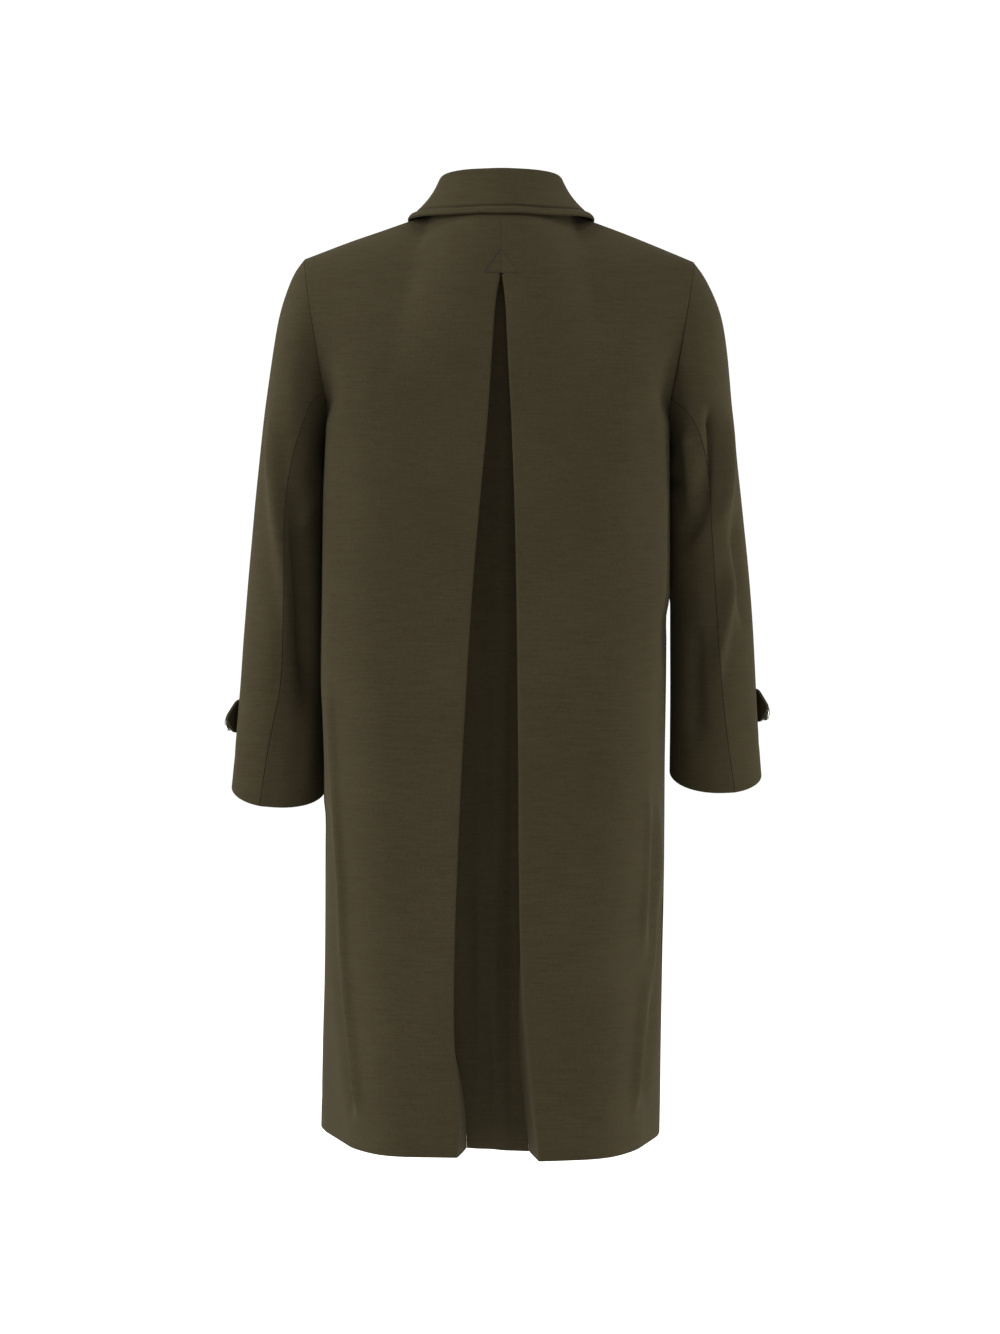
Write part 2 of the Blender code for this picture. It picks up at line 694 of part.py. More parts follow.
def build_body(collection):
    """Back panels, pleat underlay and fronts; returns their outer surfaces."""
    backs = {side: back_panel(side) for side in SIDES}
    fronts = {side: front_panel(side) for side in SIDES}
    lapped = fronts["right"][..., 0] > -LAP_LINE - 3
    over = surface_tree([fronts["left"]])
    fronts["right"][lapped] = settle(
        fronts["right"][lapped], over, Vector((0, 0, -400)), -(WALL + LAY_GAP + 0.4)
    )
    back_normals = {}
    front_normals = {}
    for side in SIDES:
        middle = np.array((0.0, 20.0, -400.0))
        back_normals[side] = outward(grid_normals(backs[side]), backs[side], middle)
        front_normals[side] = outward(grid_normals(fronts[side]), fronts[side], middle)
    shared_seams(backs, fronts, back_normals, front_normals)
    heights = back_heights()
    pleat_rows = int(np.sum(heights <= PLEAT_TOP_Z + 1e-6))
    seam_rows = LOWER_ROWS + 1
    ends = {}
    for side in SIDES:
        plane = armhole(side)[3]
        extra, extra_normals = pleat_columns(side, backs[side])
        grid = np.concatenate((extra, backs[side]), axis=1)
        normals = np.concatenate((extra_normals, back_normals[side]), axis=1)
        first = extra.shape[1]
        normals[pleat_rows:, first, 0] = 0
        normals[:, first] = unit(normals[:, first])
        keep = np.ones((grid.shape[0] - 1, grid.shape[1] - 1), bool)
        keep[pleat_rows - 1 :, :first] = False
        shift = np.zeros_like(grid)
        shift[:seam_rows, -1] += unit(grid[:seam_rows, -2] - grid[:seam_rows, -1])
        shift[LOWER_ROWS:, -1] -= plane
        shift[-1, first + BACK_NECK_COLUMNS :] += unit(
            grid[-2, first + BACK_NECK_COLUMNS :] - grid[-1, first + BACK_NECK_COLUMNS :]
        )
        shift[pleat_rows:, first] += np.array((SIDES[side], 0, 0))
        shift *= SEAM_GAP / 2
        cloth("back_" + side, grid, normals, WALL, collection, shift=shift, keep=keep)
        ends[side] = extra[:pleat_rows, 0]

        grid = fronts[side]
        shift = np.zeros_like(grid)
        shift[:seam_rows, -1] += unit(grid[:seam_rows, -2] - grid[:seam_rows, -1])
        shift[LOWER_ROWS:, -1] -= plane
        shift[-1, sum(FRONT_NECK_SPANS):] += unit(
            grid[-2, sum(FRONT_NECK_SPANS):] - grid[-1, sum(FRONT_NECK_SPANS):]
        )
        shift *= SEAM_GAP / 2
        cloth("front_" + side, grid, front_normals[side], WALL, collection, shift=shift)

    part = np.linspace(0, 1, UNDERLAY_COLUMNS + 1)
    for side in SIDES:
        raised = ends[side][-1:] + np.array((0, 0, UNDERLAY_RISE))
        ends[side] = np.concatenate((ends[side], raised))
    left = ends["left"][:, None] - np.array((SEAM_GAP, 0, 0))
    right = ends["right"][:, None] + np.array((SEAM_GAP, 0, 0))
    grid = left + (right - left) * part[None, :, None]
    widths = np.abs(left - right)[:, 0, 0]
    wave = np.sin(2 * math.pi * 2.0 * part) * np.sin(math.pi * part)
    grid[..., 1] += UNDERLAY_WAVE * wave[None, :] * np.minimum(1, widths / 90)[:, None]
    normals = outward(grid_normals(grid), grid, np.array((0.0, -500.0, -600.0)))
    cloth("pleat_underlay", grid, normals, WALL, collection, material="loden_underlay")
    return backs, fronts


def build_sleeve(side, collection):
    """Top and under sleeve of one side; returns the outer surface."""
    ring_normals, plane = armhole(side)[2:]
    grid = np.array([sleeve_ring(side, stop)[0] for stop in SLEEVE_STOPS])
    ring_body = grid[:, :-1]
    normals = grid_normals(ring_body, closed=True)
    middle = ring_body.mean(axis=1, keepdims=True)
    normals = outward(normals, ring_body, middle)
    normals = np.concatenate((normals, normals[:, :1]), axis=1)
    normals[0] = ring_normals
    outer_span, under_span = BACK_ARM_SPANS
    hind = outer_span
    fore = outer_span + 2 * under_span
    last = grid.shape[1] - 1
    top_columns = list(range(fore, last)) + list(range(0, hind + 1))
    under_columns = list(range(hind, fore + 1))
    for name, columns in (("top", top_columns), ("under", under_columns)):
        piece = grid[:, columns]
        shift = np.zeros_like(piece)
        shift[0] += plane
        shift[1:, 0] += unit(piece[1:, 1] - piece[1:, 0])
        shift[1:, -1] += unit(piece[1:, -2] - piece[1:, -1])
        shift[0, 0] += unit(piece[0, 1] - piece[0, 0])
        shift[0, -1] += unit(piece[0, -2] - piece[0, -1])
        shift *= SEAM_GAP / 2
        cloth(
            "sleeve_%s_%s" % (side, name), piece, normals[:, columns], WALL, collection,
            shift=shift,
        )
    return grid


def both_sides(rows, angle):
    """Mirrored table point at a signed angle round the neck."""
    point = look_up(FOLD_LINE_COLUMNS, rows, abs(angle))
    sign = -1.0 if angle < 0 else 1.0
    return np.array((sign * point["x"], point["y"], point["z"]))


def build_collar(tree, collection):
    """Collar stand and turned-down leaf."""
    angles = [-angle for angle in COLLAR_ANGLES[:0:-1]] + list(COLLAR_ANGLES)
    stand_rows = []
    fall_rows = []
    fall_normals = []
    for angle in angles:
        side = "left" if angle >= 0 else "right"
        base = neck_edge(abs(angle), side)
        fold = both_sides(FOLD_LINE_ROWS, angle)
        edge = both_sides(LEAF_EDGE_ROWS, angle)
        along = both_sides(FOLD_LINE_ROWS, angle + 1) - both_sides(FOLD_LINE_ROWS, angle - 1)
        out = unit(np.array((-along[1], along[0], 0)))
        up = np.array((0.0, 0.0, 1.0))
        base = base - out * COLLAR_SEAT + unit(fold - base) * (COLLAR_SEAT + SEAM_GAP)
        stand_rows.append([base + (fold - base) * part for part in (0, 0.5, 1)])
        centre = fold - out * WALL + out * ROLL_RADIUS + up * SEAM_GAP
        profile = []
        normal_profile = []
        for step in range(ROLL_STEPS + 1):
            turn = math.pi * (1 - step / ROLL_STEPS)
            around = out * math.cos(turn) + up * math.sin(turn)
            profile.append(centre + around * ROLL_RADIUS)
            normal_profile.append(around)
        start = profile[-1]
        drop = start[2] - edge[2]
        control = start + out * np.dot(edge - start, out) * 0.27 - up * drop * 0.55
        for step in range(1, LEAF_STEPS + 1):
            part = step / LEAF_STEPS
            profile.append((1 - part) ** 2 * start + 2 * part * (1 - part) * control
                           + part**2 * edge)
        fall_rows.append(profile)
        fall_normals.append(normal_profile)
    stand = np.array(stand_rows).transpose(1, 0, 2)
    middle = np.array((0.0, -10.0, 0.0))
    normals = outward(grid_normals(stand), stand, middle)
    cloth("collar_stand", stand, normals, WALL, collection)
    fall = np.array(fall_rows).transpose(1, 0, 2)
    leaf = fall[ROLL_STEPS + 1 :]
    fall[ROLL_STEPS + 1 :] = settle(leaf, tree, Vector((0, 0, -300)), LEAF_WALL + LEAF_CLEARANCE)
    normals = grid_normals(fall)
    if np.mean(np.sum(normals[-3:] * (fall[-3:] - middle), axis=-1)) < 0:
        normals = -normals
    roll = np.array(fall_normals).transpose(1, 0, 2)
    normals[: ROLL_STEPS] = roll[: ROLL_STEPS]
    normals[ROLL_STEPS] = unit(normals[ROLL_STEPS] + roll[ROLL_STEPS])
    cloth("collar_fall", fall, normals, LEAF_WALL, collection)
    return fall


def tab_surface(side, offset):
    """Outer surface of a cuff tab and the frame of its free end."""
    middle = TAB_RING[side]
    row_low = sleeve_ring(side, middle + 0.3, [0])[0][0]
    row_high = sleeve_ring(side, middle - 0.3, [0])[0][0]
    ring_length = np.linalg.norm(row_low - row_high) / 0.6

    def on_sleeve(angle, across):
        ring = middle - across / ring_length
        here = sleeve_ring(side, ring, [angle - 0.5, angle, angle + 0.5])[0]
        higher = sleeve_ring(side, ring - 0.05, [angle])[0][0]
        tangent = unit(here[2] - here[0])
        normal = unit(np.cross(tangent, higher - here[1]))
        if normal[0] * SIDES[side] < 0 and abs(angle) < 80:
            normal = -normal
        centre = sleeve_ring(side, ring, [0, 180])[0].mean(axis=0)
        if np.dot(normal, here[1] - centre) < 0:
            normal = -normal
        return here[1] + normal * offset, tangent, normal, np.linalg.norm(here[2] - here[0])

    free = spans((0, TAB_FREE - TAB_POINT, TAB_FREE), (1, 3))[1:]
    wrap = np.linspace(-TAB_WRAP, 0, 8)
    shares = np.linspace(-1, 1, 5)
    per_degree = on_sleeve(TAB_LEAVE_ANGLE, 0)[3]
    grid = []
    for along in np.concatenate((wrap, free)):
        half = TAB_WIDTH / 2
        point_part = (along - (TAB_FREE - TAB_POINT)) / TAB_POINT
        if point_part > 0:
            half = half + (TAB_TIP_WIDTH / 2 - half) * point_part
        line = []
        for share in shares:
            across = share * half
            if along <= 0:
                angle = TAB_LEAVE_ANGLE + along / per_degree
                line.append(on_sleeve(angle, across)[0])
            else:
                spot, tangent, _, _ = on_sleeve(TAB_LEAVE_ANGLE, across)
                line.append(spot + tangent * along)
        grid.append(line)
    spot, tangent, normal, _ = on_sleeve(TAB_LEAVE_ANGLE, -BUTTON_DROP)
    seat = spot + tangent * (TAB_FREE - BUTTON_FROM_TIP)
    return np.array(grid), seat, normal


def add_button(name, seat, normal, collection):
    """Domed metal button with a flat back on a seat."""
    radius = BUTTON_RADIUS
    height = BUTTON_HEIGHT
    profile = (
        (0.85 * radius, 0.0), (radius, 0.20 * height), (0.96 * radius, 0.46 * height),
        (0.70 * radius, 0.74 * height), (0.35 * radius, 0.95 * height),
    )
    mesh = bpy.data.meshes.new(name)
    form = bmesh.new()
    rings = []
    for ring_radius, z in profile:
        ring = []
        for step in range(BUTTON_SIDES):
            angle = 2 * math.pi * step / BUTTON_SIDES
            ring.append(form.verts.new((
                ring_radius * math.cos(angle), ring_radius * math.sin(angle), z
            )))
        rings.append(ring)
    form.faces.new(rings[0][::-1])
    form.faces.new(rings[-1])
    for low, high in zip(rings[:-1], rings[1:]):
        for step in range(BUTTON_SIDES):
            after = (step + 1) % BUTTON_SIDES
            form.faces.new((low[step], low[after], high[after], high[step]))
    turn = Vector(normal).to_track_quat("Z", "Y").to_matrix().to_4x4()
    place = Matrix.Translation(Vector(seat))
    form.transform(Matrix.Scale(MM, 4) @ place @ turn)
    form.to_mesh(mesh)
    form.free()
    add_object(name, mesh, "button_metal", collection)


def build_tabs(collection):
    """Pointed cuff tabs and their buttons."""
    for side in SIDES:
        grid, seat, normal = tab_surface(side, LAY_GAP + TAB_WALL)
        normals = grid_normals(grid)
        middle = sleeve_ring(side, TAB_RING[side], [0, 180])[0].mean(axis=0)
        normals = outward(normals, grid, middle)
        cloth("cuff_tab_" + side, grid, normals, TAB_WALL, collection)
        seat = seat + normal * SEAM_GAP
        add_button("cuff_button_" + side, seat, normal, collection)


def build_front_buttons(fronts, collection):
    """Buttons down the closing edge, on the left front."""
    tree = surface_tree([fronts["left"]])
    for place, z in enumerate(FRONT_BUTTON_Z, start=1):
        hits = []
        for x, dz in ((0, 0), (8, 0), (-8, 0), (0, 8), (0, -8)):
            spot, normal, _, _ = tree.ray_cast(Vector((x, -400, z + dz)), Vector((0, 1, 0)))
            hits.append((spot, normal))
        spot, normal = hits[0]
        if normal.y > 0:
            normal = -normal
        height = max((other - spot).dot(normal) for other, _ in hits)
        seat = spot + normal * (height + SEAM_GAP)
        add_button("front_button_%d" % place, seat, normal, collection)


def clear_scene():
    """Remove everything that the file opens with."""
    for old in list(bpy.data.objects):
        bpy.data.objects.remove(old, do_unlink=True)


def build():
    """Build the coat."""
    clear_scene()
    collection = bpy.data.collections.new(NAME)
    bpy.context.scene.collection.children.link(collection)
    backs, fronts = build_body(collection)
    for side in SIDES:
        build_sleeve(side, collection)
    tree = surface_tree([backs["left"], backs["right"], fronts["left"], fronts["right"]])
    build_collar(tree, collection)
    build_tabs(collection)
    build_front_buttons(fronts, collection)


build()
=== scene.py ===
"""Looks of a loden coat in the form it has when worn, seen from behind.

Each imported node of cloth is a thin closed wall. It is smoothed here into heavy
fulled wool, given its soft folds and pressed lines, and topstitched. Tables are
in millimetres, and +Y is the side that the camera sees.
"""
import logging
import math
from dataclasses import dataclass
from enum import Enum

import bmesh
import bpy
import numpy as np
from bpy.types import Material, NodeSocket, Object
from mathutils import Matrix, Vector
from mathutils.bvhtree import BVHTree
from mathutils.kdtree import KDTree


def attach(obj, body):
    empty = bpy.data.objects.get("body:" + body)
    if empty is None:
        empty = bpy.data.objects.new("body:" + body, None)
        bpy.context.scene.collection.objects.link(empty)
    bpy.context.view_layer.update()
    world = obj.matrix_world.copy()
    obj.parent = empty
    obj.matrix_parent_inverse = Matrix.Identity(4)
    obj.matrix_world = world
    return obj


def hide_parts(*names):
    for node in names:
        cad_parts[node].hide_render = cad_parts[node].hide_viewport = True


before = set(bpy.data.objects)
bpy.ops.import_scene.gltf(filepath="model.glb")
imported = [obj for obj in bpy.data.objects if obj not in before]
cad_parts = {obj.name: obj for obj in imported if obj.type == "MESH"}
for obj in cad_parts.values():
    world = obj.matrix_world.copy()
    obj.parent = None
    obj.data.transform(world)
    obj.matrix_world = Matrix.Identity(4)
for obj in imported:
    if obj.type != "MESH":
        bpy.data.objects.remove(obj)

MM = 0.001
LOG = logging.getLogger("coat")
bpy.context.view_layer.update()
# Place of the camera in metres.
EYE = Vector((0.0012, 3.2, -0.538))
# An edge of a wall that turns by more than this stays sharp.
SHARP = math.radians(50)
# A vertex is on the outside when its normal goes this far along the way out of the cloth.
OUTSIDE = 0.3
# Attribute that is 1 where painted shade darkens a seam or an edge that lies against another part,
# and 0 elsewhere.
SEAM_SHADE_MASK = "seam_shade_mask"
# Slow waves of the cloth: direction in radians, wavelength and height in millimetres.
WAVES = ((0.3, 170.0, 0.5), (1.9, 121.0, 0.35), (3.6, 83.0, 0.22), (5.1, 58.0, 0.14))
FaceGroup = list[bmesh.types.BMFace]


class Side(Enum):
    """Side of the coat, as the wearer has it."""

    LEFT = 1.0
    RIGHT = -1.0

    @property
    def word(self) -> str:
        """Name of the side as the nodes have it."""
        return self.name.lower()


def linear(colour: str) -> tuple[float, float, float, float]:
    """Turn an sRGB hex value to a linear colour.

    Args:
        colour: Hex value such as "#3f3928".

    Returns:
        Red, green, blue and alpha.
    """
    parts = [int(colour[place : place + 2], 16) / 255 for place in (1, 3, 5)]
    made = [
        part / 12.92 if part <= 0.04045 else ((part + 0.055) / 1.055) ** 2.4 for part in parts
    ]
    return (made[0], made[1], made[2], 1.0)


def add_node(
    material: Material, kind: str, settings: dict | None = None, feeds: dict | None = None
) -> bpy.types.Node:
    """Add one node with its settings and links.

    Args:
        material: Material that gets the node.
        kind: Blender's name of the node type.
        settings: Values by the name of a property, or by the name or number of an input.
        feeds: Socket or hex colour by the name or number of the input that it feeds.

    Returns:
        The new node.
    """
    node = material.node_tree.nodes.new(kind)
    for key, value in (settings or {}).items():
        if isinstance(key, str) and hasattr(node, key):
            setattr(node, key, value)
        else:
            node.inputs[key].default_value = value
    for key, source in (feeds or {}).items():
        if isinstance(source, str):
            node.inputs[key].default_value = linear(source)
        else:
            material.node_tree.links.new(source, node.inputs[key])
    return node


def new_material(name: str) -> tuple[Material, NodeSocket]:
    """Make a material that is patterned by the place on the object.

    Args:
        name: Name of the material.

    Returns:
        The material and the socket of its object coordinates.
    """
    material = bpy.data.materials.new(name)
    material.use_nodes = True
    return material, add_node(material, "ShaderNodeTexCoord").outputs["Object"]


def noise(
    material: Material, place: NodeSocket, size: float, detail: float, roughness: float = 0.5
) -> NodeSocket:
    """Add a noise pattern whose coarsest grain has a size in metres."""
    settings = {"Scale": 1 / size, "Detail": detail, "Roughness": roughness}
    return add_node(material, "ShaderNodeTexNoise", settings, {"Vector": place}).outputs["Fac"]


def spread(
    material: Material, value: NodeSocket, low: float, high: float,
    start: float = 0.0, end: float = 1.0,
) -> NodeSocket:
    """Map a value from the range (start, end) to the range (low, high)."""
    settings = {"From Min": start, "From Max": end, "To Min": low, "To Max": high}
    return add_node(material, "ShaderNodeMapRange", settings, {"Value": value}).outputs["Result"]


def mixed(
    material: Material, share: NodeSocket, first: NodeSocket | str, second: str
) -> NodeSocket:
    """Mix two colours by the share that the second has."""
    feeds = {0: share, 6: first, 7: second}
    return add_node(material, "ShaderNodeMix", {"data_type": "RGBA"}, feeds).outputs[2]


def toned(material: Material, tone: NodeSocket, colour: NodeSocket | str) -> NodeSocket:
    """Make a colour lighter or darker by a factor."""
    feeds = {"Color": colour, "Value": tone}
    return add_node(material, "ShaderNodeHueSaturation", {}, feeds).outputs["Color"]


def bumped(material: Material, height: NodeSocket, strength: float, depth: float) -> NodeSocket:
    """Turn a height to a bumped normal, with the depth in millimetres."""
    settings = {"Strength": strength, "Distance": depth * MM}
    return add_node(material, "ShaderNodeBump", settings, {"Height": height}).outputs["Normal"]


def dress(material: Material, settings: dict, links: dict) -> Material:
    """Set the shader of a material.

    Args:
        material: Material to set.
        settings: Values by the name of the shader's input.
        links: Sockets by the name of the input that they feed.

    Returns:
        The same material.
    """
    shader = material.node_tree.nodes["Principled BSDF"]
    for key, value in settings.items():
        shader.inputs[key].default_value = value
    for key, socket in links.items():
        material.node_tree.links.new(socket, shader.inputs[key])
    return material


@dataclass(frozen=True)
class FulledLoden:
    """Fulled wool loden: woven, milled until the weave closes, then brushed one way.

    The eye gets a dull, close surface with a mixture of brown and olive fibres,
    faint thicker stretches of weft across it and a little light along its edges.

    Attributes:
        name: Name of the material.
        ground: Colour of the cloth.
        fleck: Colour of the lighter fibres in the mixture.
        shade: Colour of the darker fibres.
        painted_seam_shade: Painted shade, near black, in the depth of a seam where the two cloths
            meet and along edges that lie on another part.
        nap_mm: Length of the tufts that the brushing leaves.
        slub_mm: Length of the thicker stretches of weft yarn.
        yarn_mm: Height of one weft yarn, drawn at twice its real size.
        cloud_mm: Size of the faint clouds in the tone of the cloth.
        sheen: How much the nap lights up at its edges.
        bloom: Colour of that light.
    """

    name: str = "fulled_wool_loden"
    ground: str = "#262217"
    fleck: str = "#2e2a1d"
    shade: str = "#231e14"
    # Painted shade, not a colour of the cloth: it darkens seams and edges that lie on another
    # part.
    painted_seam_shade: str = "#090806"
    nap_mm: float = 2.4
    slub_mm: float = 30.0
    yarn_mm: float = 1.8
    cloud_mm: float = 120.0
    sheen: float = 0.04
    bloom: str = "#b3a987"

    def build(self) -> Material:
        """Make the material: a dull ground, a mixture of fibres, weft streaks, a short nap and
        painted shade in the seams.

        Returns:
            The material.
        """
        material, place = new_material(self.name)
        # The fibres of the mixture are far finer than a pixel, so their clumps are drawn.
        tuft = noise(material, place, self.nap_mm * MM, detail=3.0, roughness=0.65)
        # Weft streaks are long across the cloth and one or two yarns high.
        flat = add_node(
            material, "ShaderNodeMapping",
            {"Scale": (1.0, 1.0, self.slub_mm / self.yarn_mm)}, {"Vector": place},
        ).outputs["Vector"]
        slub = noise(material, flat, self.slub_mm * MM, detail=2.0, roughness=0.55)
        cloud = noise(material, place, self.cloud_mm * MM, detail=2.0)
        streak = spread(material, slub, low=0.0, high=1.0, start=0.32, end=0.62)
        mixture = spread(material, tuft, low=0.0, high=0.5, start=0.35, end=0.75)
        tone = spread(material, cloud, low=0.94, high=1.06, start=0.3, end=0.7)
        fibres = mixed(
            material, mixture, mixed(material, streak, self.shade, self.ground), self.fleck
        )
        # Mask of painted shade: where it is 1 the colour turns to the near-black seam shade, which
        # stands in for the shade between two cloths.
        deep = add_node(
            material, "ShaderNodeAttribute", {"attribute_name": SEAM_SHADE_MASK}
        ).outputs["Fac"]
        height = add_node(
            material, "ShaderNodeMath", {"operation": "MULTIPLY_ADD", 1: 0.6}, {0: tuft, 2: slub}
        ).outputs[0]
        return dress(
            material,
            {
                "Roughness": 0.95, "Specular IOR Level": 0.02, "Sheen Weight": self.sheen,
                "Sheen Roughness": 0.5, "Sheen Tint": linear(self.bloom),
            },
            {
                "Base Color": mixed(material, deep, toned(material, tone, fibres), self.painted_seam_shade),
                "Normal": bumped(material, height, strength=0.12, depth=0.3),
            },
        )


@dataclass(frozen=True)
class SewingThread:
    """Spun polyester thread in a darker tone of the cloth."""

    name: str = "spun_polyester_thread"
    colour: str = "#110f0a"
    twist_mm: float = 0.8

    def build(self) -> Material:
        """Make the material with the twist of the thread in its bump.

        Returns:
            The material.
        """
        material, place = new_material(self.name)
        twist = noise(material, place, self.twist_mm * MM, detail=2.0)
        tone = spread(material, twist, low=0.8, high=1.25)
        return dress(
            material, {"Roughness": 0.7, "Specular IOR Level": 0.25},
            {
                "Base Color": toned(material, tone, self.colour),
                "Normal": bumped(material, twist, strength=0.4, depth=0.2),
            },
        )


@dataclass(frozen=True)
class CastButtonMetal:
    """Die-cast zinc with a silver-coloured plating, tumbled until its edges are soft."""

    name: str = "plated_cast_zinc"
    colour: str = "#cfcdc8"
    patina: str = "#77736b"
    grain_mm: float = 1.6

    def build(self) -> Material:
        """Make the material: a bright plating with a duller, rougher grain.

        Returns:
            The material.
        """
        material, place = new_material(self.name)
        grain = noise(material, place, self.grain_mm * MM, detail=4.0)
        return dress(
            material, {"Metallic": 1.0},
            {
                "Base Color": mixed(material, grain, self.patina, self.colour),
                "Roughness": spread(material, grain, low=0.46, high=0.22),
                "Normal": bumped(material, grain, strength=0.15, depth=0.1),
            },
        )


@dataclass(frozen=True)
class StudioPaper:
    """Matt white background paper with the faintest clouds, counted along one metre."""

    name: str = "white_background_paper"
    colour: str = "#fcfcfb"
    clouds: float = 1.4

    def build(self) -> Material:
        """Make the material.

        Returns:
            The material.
        """
        material, place = new_material(self.name)
        cloud = noise(material, place, 1 / self.clouds, detail=2.0)
        colour = toned(material, spread(material, cloud, low=0.99, high=1.0), self.colour)
        return dress(material, {"Roughness": 0.95}, {"Base Color": colour})


def add_object(name: str, data: bpy.types.ID) -> Object:
    """Put a new object in the scene.

    Args:
        name: Name of the object.
        data: Its mesh, lamp or camera.

    Returns:
        The new object.
    """
    made = bpy.data.objects.new(name, data)
    bpy.context.scene.collection.objects.link(made)
    return made


def only(target: Object) -> None:
    """Select one object and make it the active one."""
    bpy.ops.object.select_all(action="DESELECT")
    target.select_set(True)
    bpy.context.view_layer.objects.active = target


def vertex_places(target: Object) -> np.ndarray:
    """Places of an object's vertices, in metres."""
    places = np.empty(len(target.data.vertices) * 3)
    target.data.vertices.foreach_get("co", places)
    return places.reshape(-1, 3)


def vertex_normals(target: Object) -> np.ndarray:
    """Normals of an object's vertices."""
    normals = np.empty(len(target.data.vertices) * 3)
    target.data.vertex_normals.foreach_get("vector", normals)
    return normals.reshape(-1, 3)


def move_vertices(target: Object, places: np.ndarray) -> None:
    """Put an object's vertices at new places."""
    target.data.vertices.foreach_set("co", places.ravel())
    target.data.update()


def apply_modifier(target: Object, kind: str, **settings: object) -> None:
    """Add a modifier, set it and apply it.

    Args:
        target: Object that gets it.
        kind: Blender's name of the modifier type.
        **settings: Values of its properties.
    """
    only(target)
    modifier = target.modifiers.new("work", kind)
    for key, value in settings.items():
        setattr(modifier, key, value)
    bpy.ops.object.modifier_apply(modifier=modifier.name)


def surface(target: Object) -> BVHTree:
    """Search tree of an object's faces."""
    faces = [tuple(face.vertices) for face in target.data.polygons]
    return BVHTree.FromPolygons([vert.co for vert in target.data.vertices], faces)


def point_tree(places: np.ndarray) -> KDTree:
    """Make a search tree of places.

    Args:
        places: One place in each row.

    Returns:
        The tree, which gives the row of a place as its index.
    """
    tree = KDTree(len(places))
    for index, place in enumerate(places):
        tree.insert(Vector(place), index)
    tree.balance()
    return tree


def eased(share: np.ndarray) -> np.ndarray:
    """Soften both ends of a share that goes from 0 to 1."""
    return share * share * (3 - 2 * share)


@dataclass(frozen=True)
class Fold:
    """Soft ridge or trough along a line on the back of the coat.

    Attributes:
        path: Points (across, height) of the line as the camera sees it on the middle plane.
        rise: Height of the ridge, or depth of a trough as a negative number.
        width: Half of its width.
        taper: Share of its length over which each end dies away.
        bell: Spread of its bell-shaped section as a share of half of its width.
        facing: How soon it is at its full height on cloth that turns to the back.
    """

    path: tuple[tuple[float, float], ...]
    rise: float
    width: float
    taper: float = 0.3
    bell: float = 0.55
    facing: float = 1.8

    def height(self, points: np.ndarray, through: np.ndarray) -> np.ndarray:
        """Height of the fold at points of the cloth.

        Args:
            points: Places in millimetres.
            through: Directions out of the cloth.

        Returns:
            Height in millimetres, one for each point.
        """
        eye = np.array(EYE) / MM
        scale = eye[1] / (eye[1] - points[:, 1])
        plane = np.column_stack((
            eye[0] + (points[:, 0] - eye[0]) * scale, eye[2] + (points[:, 2] - eye[2]) * scale,
        ))
        best = np.full(len(points), 1e9)
        along = np.zeros(len(points))
        path = np.array(self.path, float)
        steps = np.linalg.norm(np.diff(path, axis=0), axis=1)
        done = 0.0
        for start, end, length in zip(path[:-1], path[1:], steps):
            way = (end - start) / length
            part = np.clip((plane - start) @ way, 0, length)
            far = np.linalg.norm(plane - start - part[:, None] * way, axis=1)
            closer = far < best
            best = np.where(closer, far, best)
            along = np.where(closer, (done + part) / steps.sum(), along)
            done += length
        section = np.exp(-0.5 * (best / (self.bell * self.width)) ** 2)
        ends = eased(np.clip(np.minimum(along, 1 - along) / self.taper, 0, 1))
        return self.rise * section * ends * np.clip(through[:, 1] * self.facing, 0, 1)


@dataclass(frozen=True)
class Swell:
    """Broad, soft swelling or hollow of the side of a wall.

    Attributes:
        rise: How far the cloth goes out, or in as a negative number.
        deep: Stretch from front to back.
        high: Stretch of heights.
        way: Plan direction that the cloth there faces.
        soft: Length over which it dies away.
        facing: How soon it is at its full height on cloth that turns that way.
    """

    rise: float
    deep: tuple[float, float]
    high: tuple[float, float]
    way: tuple[float, float]
    soft: float = 30.0
    facing: float = 1.6

    def height(self, points: np.ndarray, through: np.ndarray) -> np.ndarray:
        """Height of the swelling at points of the cloth.

        Args:
            points: Places in millimetres.
            through: Directions out of the cloth.

        Returns:
            Height in millimetres, one for each point.
        """
        turned = through[:, 0] * self.way[0] + through[:, 1] * self.way[1]
        share = np.clip(self.facing * turned, 0, 1)
        for axis, (low, high) in ((1, self.deep), (2, self.high)):
            inside = np.minimum(points[:, axis] - low, high - points[:, axis])
            share = share * eased(np.clip(inside / self.soft + 0.5, 0, 1))
        return self.rise * share


